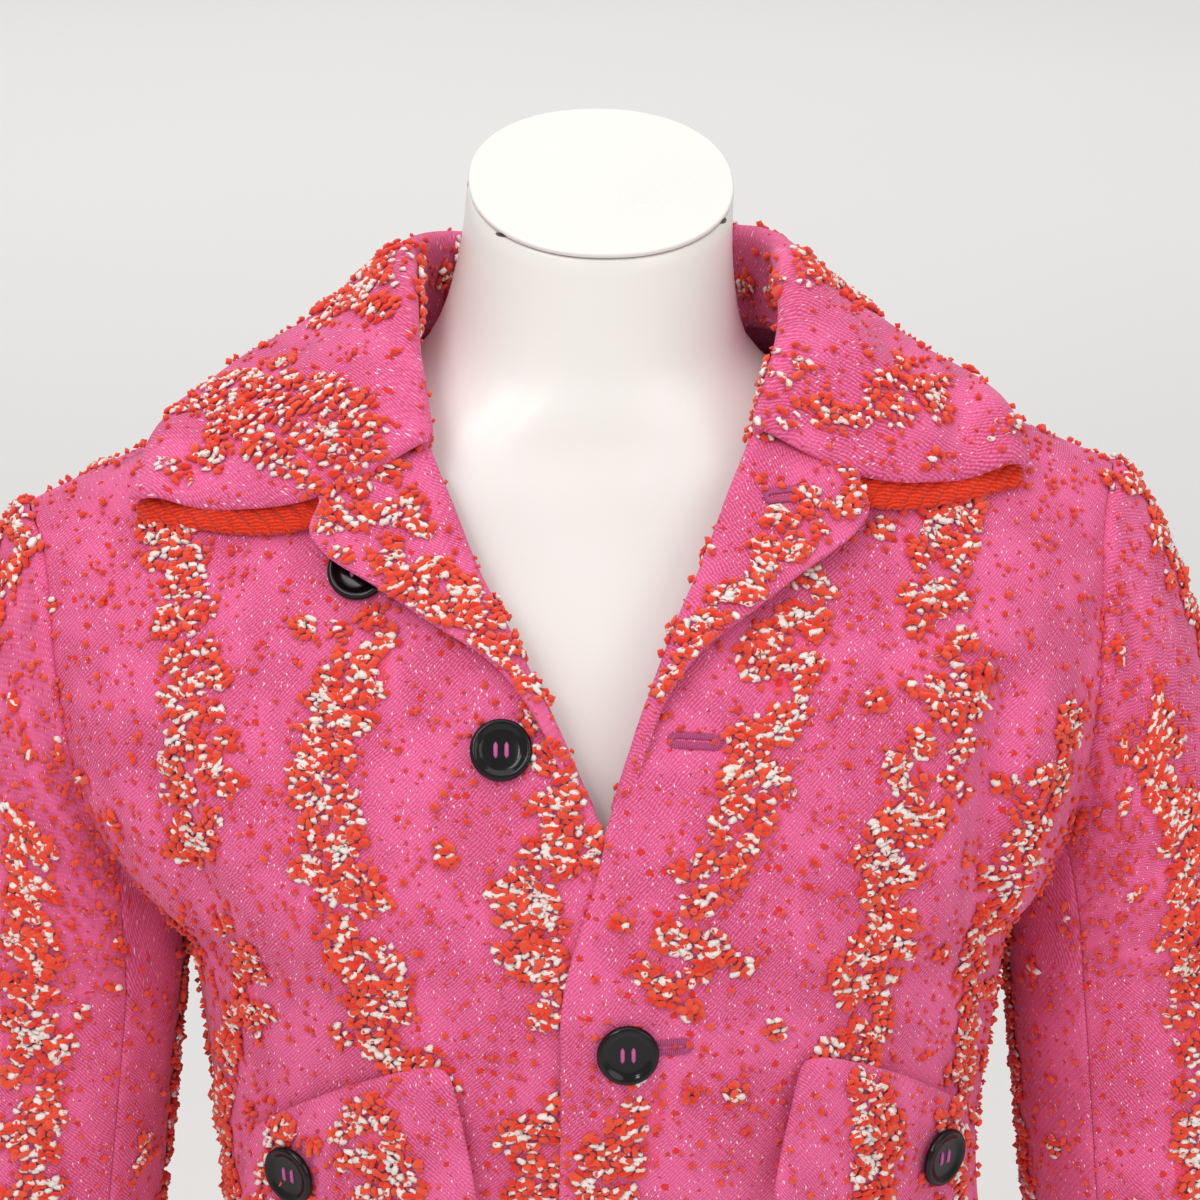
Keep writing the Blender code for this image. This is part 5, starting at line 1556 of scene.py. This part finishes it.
def makeButtonhole(name, key, x, z, length, slope):
    panel = pieces[key]
    spot = standing(points(x, 0.0, z))
    away = np.hypot(panel["outer"][..., 0] - spot[0], panel["outer"][..., 2] - spot[2])
    away = away + (panel["edge"] < 0.003)          # never on the roll at an edge
    place = np.unravel_index(np.argmin(away), away.shape)
    seat, out = panel["outer"][place], panel["normals"][place]
    across = unit(np.cross(np.array([0.0, 0.0, 1.0]), out))
    up = np.cross(out, across)
    turnX, turnY = math.cos(slope), math.sin(slope)
    across, up = across * turnX + up * turnY, up * turnX - across * turnY
    half, sewing = length / 2, buttonholeSewing
    wide, base = sewing["halfWidth"], seat + out * sewing["height"]
    places, along = [], []
    for side in (-1, 1):
        for share in np.linspace(-1, 1, sewing["count"]):
            places.append(base + across * share * (half - wide) + up * side * wide)
            along.append(up)
    for side in (-1, 1):
        for angle in np.linspace(-sewing["endTurn"], sewing["endTurn"], sewing["endCount"]):
            way = across * side * math.cos(angle) + up * math.sin(angle)
            places.append(base + across * side * (half - wide) + way * wide)
            along.append(way)
    sew(name, places, out, along, mauveThread, buttonholeStitch)


for name, (key, x, z, length, slope) in buttonholes.items():
    makeButtonhole(name, key, x, z, length, slope)
print("buttons and buttonholes sewn")


# The dress form, level by level; its neck leans and tilts.
form = {
    "z": (0.0, 0.012, 0.090, 0.170, 0.225, 0.290, 0.370, 0.430, 0.480, 0.530, 0.575, 0.605, 0.625, 0.643,
          0.660, 0.676, 0.693, 0.712, 0.733, 0.7535),
    "halfWidth": (0.150, 0.157, 0.163, 0.148, 0.132, 0.122, 0.137, 0.147, 0.151, 0.160, 0.172, 0.174, 0.165,
                  0.143, 0.110, 0.079, 0.062, 0.056, 0.053, 0.052),
    "front": (0.098, 0.103, 0.103, 0.101, 0.098, 0.096, 0.110, 0.121, 0.122, 0.111, 0.092, 0.076, 0.067,
              0.061, 0.057, 0.055, 0.053, 0.052, 0.051, 0.0505),
    "back": (0.104, 0.109, 0.113, 0.102, 0.092, 0.084, 0.091, 0.098, 0.102, 0.104, 0.100, 0.090, 0.080, 0.069,
             0.057, 0.052, 0.051, 0.051, 0.051, 0.0505),
    "shiftY": (0.0,) * 14 + (0.001, 0.001, 0.001, 0.0, -0.003, -0.006),
    "tilt": (0.0,) * 14 + (2.0, 5.0, 10.0, 15.0, 21.0, 25.0),
    "roundness": 2.15, "steps": 128, "levelGap": 0.0080, "capGap": 0.0008, "capHeight": 0.0033,
    # chips in the lacquer: place and size
    "chips": (((-0.0412, 0.0030, 0.7545), (0.0020, 0.0070, 0.0022)),
              ((-0.0290, -0.0350, 0.7400), (0.0040, 0.0030, 0.0010)),
              ((0.0565, -0.0285, 0.7430), (0.0030, 0.0030, 0.0012))),
}
lacquer = lacquerMaterial()
jointShadow = jointMaterial()


def formRing(z, rise=0.0, inset=0.0):
    # one level of the form; rise goes up along the tilted neck and inset goes in
    turns = np.linspace(0, 2 * math.pi, form["steps"], endpoint=False)
    power = 2 / form["roundness"]
    sine, cosine = np.sin(turns), np.cos(turns)
    x = (smooth(form, "halfWidth", z) - inset) * np.sign(sine) * np.abs(sine) ** power
    depth = np.where(cosine > 0, smooth(form, "front", z), smooth(form, "back", z)) - inset
    y = -depth * np.sign(cosine) * np.abs(cosine) ** power
    tilt = math.radians(float(smooth(form, "tilt", z)))
    return points(x + smooth(stance, "shift", z),
                  y * math.cos(tilt) + smooth(form, "shiftY", z) - rise * math.sin(tilt),
                  z + y * math.sin(tilt) + rise * math.cos(tilt) + smooth(stance, "slant", z) * x)


def loftedForm(name, rings, node, material):
    index = np.arange(len(rings) * form["steps"]).reshape(len(rings), -1)
    after = np.roll(index, -1, axis=1)
    faces = np.stack((index[:-1], after[:-1], after[1:], index[1:]), axis=-1).reshape(-1, 4).tolist()
    faces += [index[0, ::-1].tolist(), index[-1].tolist()]
    made = meshObject(name, np.concatenate(rings), faces, material)
    for polygon in made.data.polygons[-2:]:
        polygon.use_smooth = False
    onBody(made, node)


def makeForm():
    top = form["z"][-1]
    even = list(np.arange(0.010, top - 0.002, form["levelGap"]))
    levels = [0.0004, 0.0012, 0.003, 0.006] + even + [top - 0.0006]
    rings = [formRing(0.0, 0.0, 0.0012), formRing(0.0, 0.0003, 0.0004)] + [formRing(z) for z in levels]
    rings += [formRing(top, -0.0002, 0.0002), formRing(top, 0.0, 0.0007)]
    loftedForm("form_shell", rings, "form_body", lacquer)
    low, high, rounding = form["capGap"], form["capHeight"], 0.0009
    cap = [formRing(top, low, 0.0008), formRing(top, low + 0.0002, 0.0002), formRing(top, high - rounding),
           formRing(top, high - rounding * 0.35, rounding * 0.25), formRing(top, high, rounding)]
    loftedForm("form_cap", cap, "form_neck_cap", lacquer)
    # the dark ring in the gap under the cap: painted shadow in the joint
    joint = [formRing(top, -0.0004, 0.0014), formRing(top, low + 0.0006, 0.0014)]
    loftedForm("form_joint", joint, None, jointShadow)


makeForm()
print("form made")


studio = {
    "lights": {          # place, size, power
        "key": ((-1.3, -1.8, 2.5), 1.2, 21.5), "fill": ((1.6, -2.2, 1.5), 1.5, 11.0),
        "top": ((0.0, -0.2, 2.7), 2.2, 19.5), "glint": ((-0.7, -2.0, 1.6), 0.26, 3.0),
        "backdrop": ((0.0, 5.2, 3.2), 5.0, 30.5),
    },
    "target": (0.0, 0.0, 0.5), "backdropTarget": (0.0, 5.2, 0.0), "world": 0.515,
    "warmWhite": (1.0, 0.985, 0.97, 1.0), "floorSize": 30.0, "floorGlow": 0.06,
    "spread": 180.0, "backdropSpread": 100.0,
}


def makeStudio():
    bpy.ops.mesh.primitive_plane_add(size=studio["floorSize"], location=(0.0, 0.0, 0.0))
    floor = bpy.context.object
    floor.name = "floor"
    material, w = newMaterial("studio floor")
    cloud = w.noise(w.node("ShaderNodeTexCoord").outputs["Object"], 0.8)
    glow = {"Emission Color": studio["warmWhite"], "Emission Strength": studio["floorGlow"]}
    finished(material, w, w.mix(cloud, rgb(236, 235, 234), rgb(240, 239, 238)), 0.9, plain=glow)
    floor.data.materials.append(material)
    for name, (place, size, power) in studio["lights"].items():
        light = bpy.data.lights.new(name, "AREA")
        light.energy, light.size = power, size
        light.spread = math.radians(studio["backdropSpread" if name == "backdrop" else "spread"])
        lamp = inScene(name, light)
        lamp.location = place
        target = Vector(studio["backdropTarget" if name == "backdrop" else "target"])
        lamp.rotation_euler = (target - Vector(place)).to_track_quat("-Z", "Y").to_euler()
    world = bpy.data.worlds.new("studio")
    world.use_nodes = True
    world.node_tree.nodes["Background"].inputs["Color"].default_value = studio["warmWhite"]
    world.node_tree.nodes["Background"].inputs["Strength"].default_value = studio["world"]
    bpy.context.scene.world = world
    bpy.context.scene.view_settings.view_transform = "Standard"


camera = {"azimuth": -4.5, "elevation": 14.0, "distance": 2.0,
          "target": (0.0045, -0.08, 0.605), "lens": 156.0}


def makeCamera():
    turn, climb = math.radians(camera["azimuth"]), math.radians(camera["elevation"])
    back = Vector((math.sin(turn) * math.cos(climb), -math.cos(turn) * math.cos(climb), math.sin(climb)))
    data = bpy.data.cameras.new("camera")
    data.lens, data.sensor_width = camera["lens"], 36.0
    made = inScene("camera", data)
    made.location = Vector(camera["target"]) + back * camera["distance"]
    made.rotation_euler = (-back).to_track_quat("-Z", "Y").to_euler()
    bpy.context.scene.camera = made


makeStudio()
makeCamera()
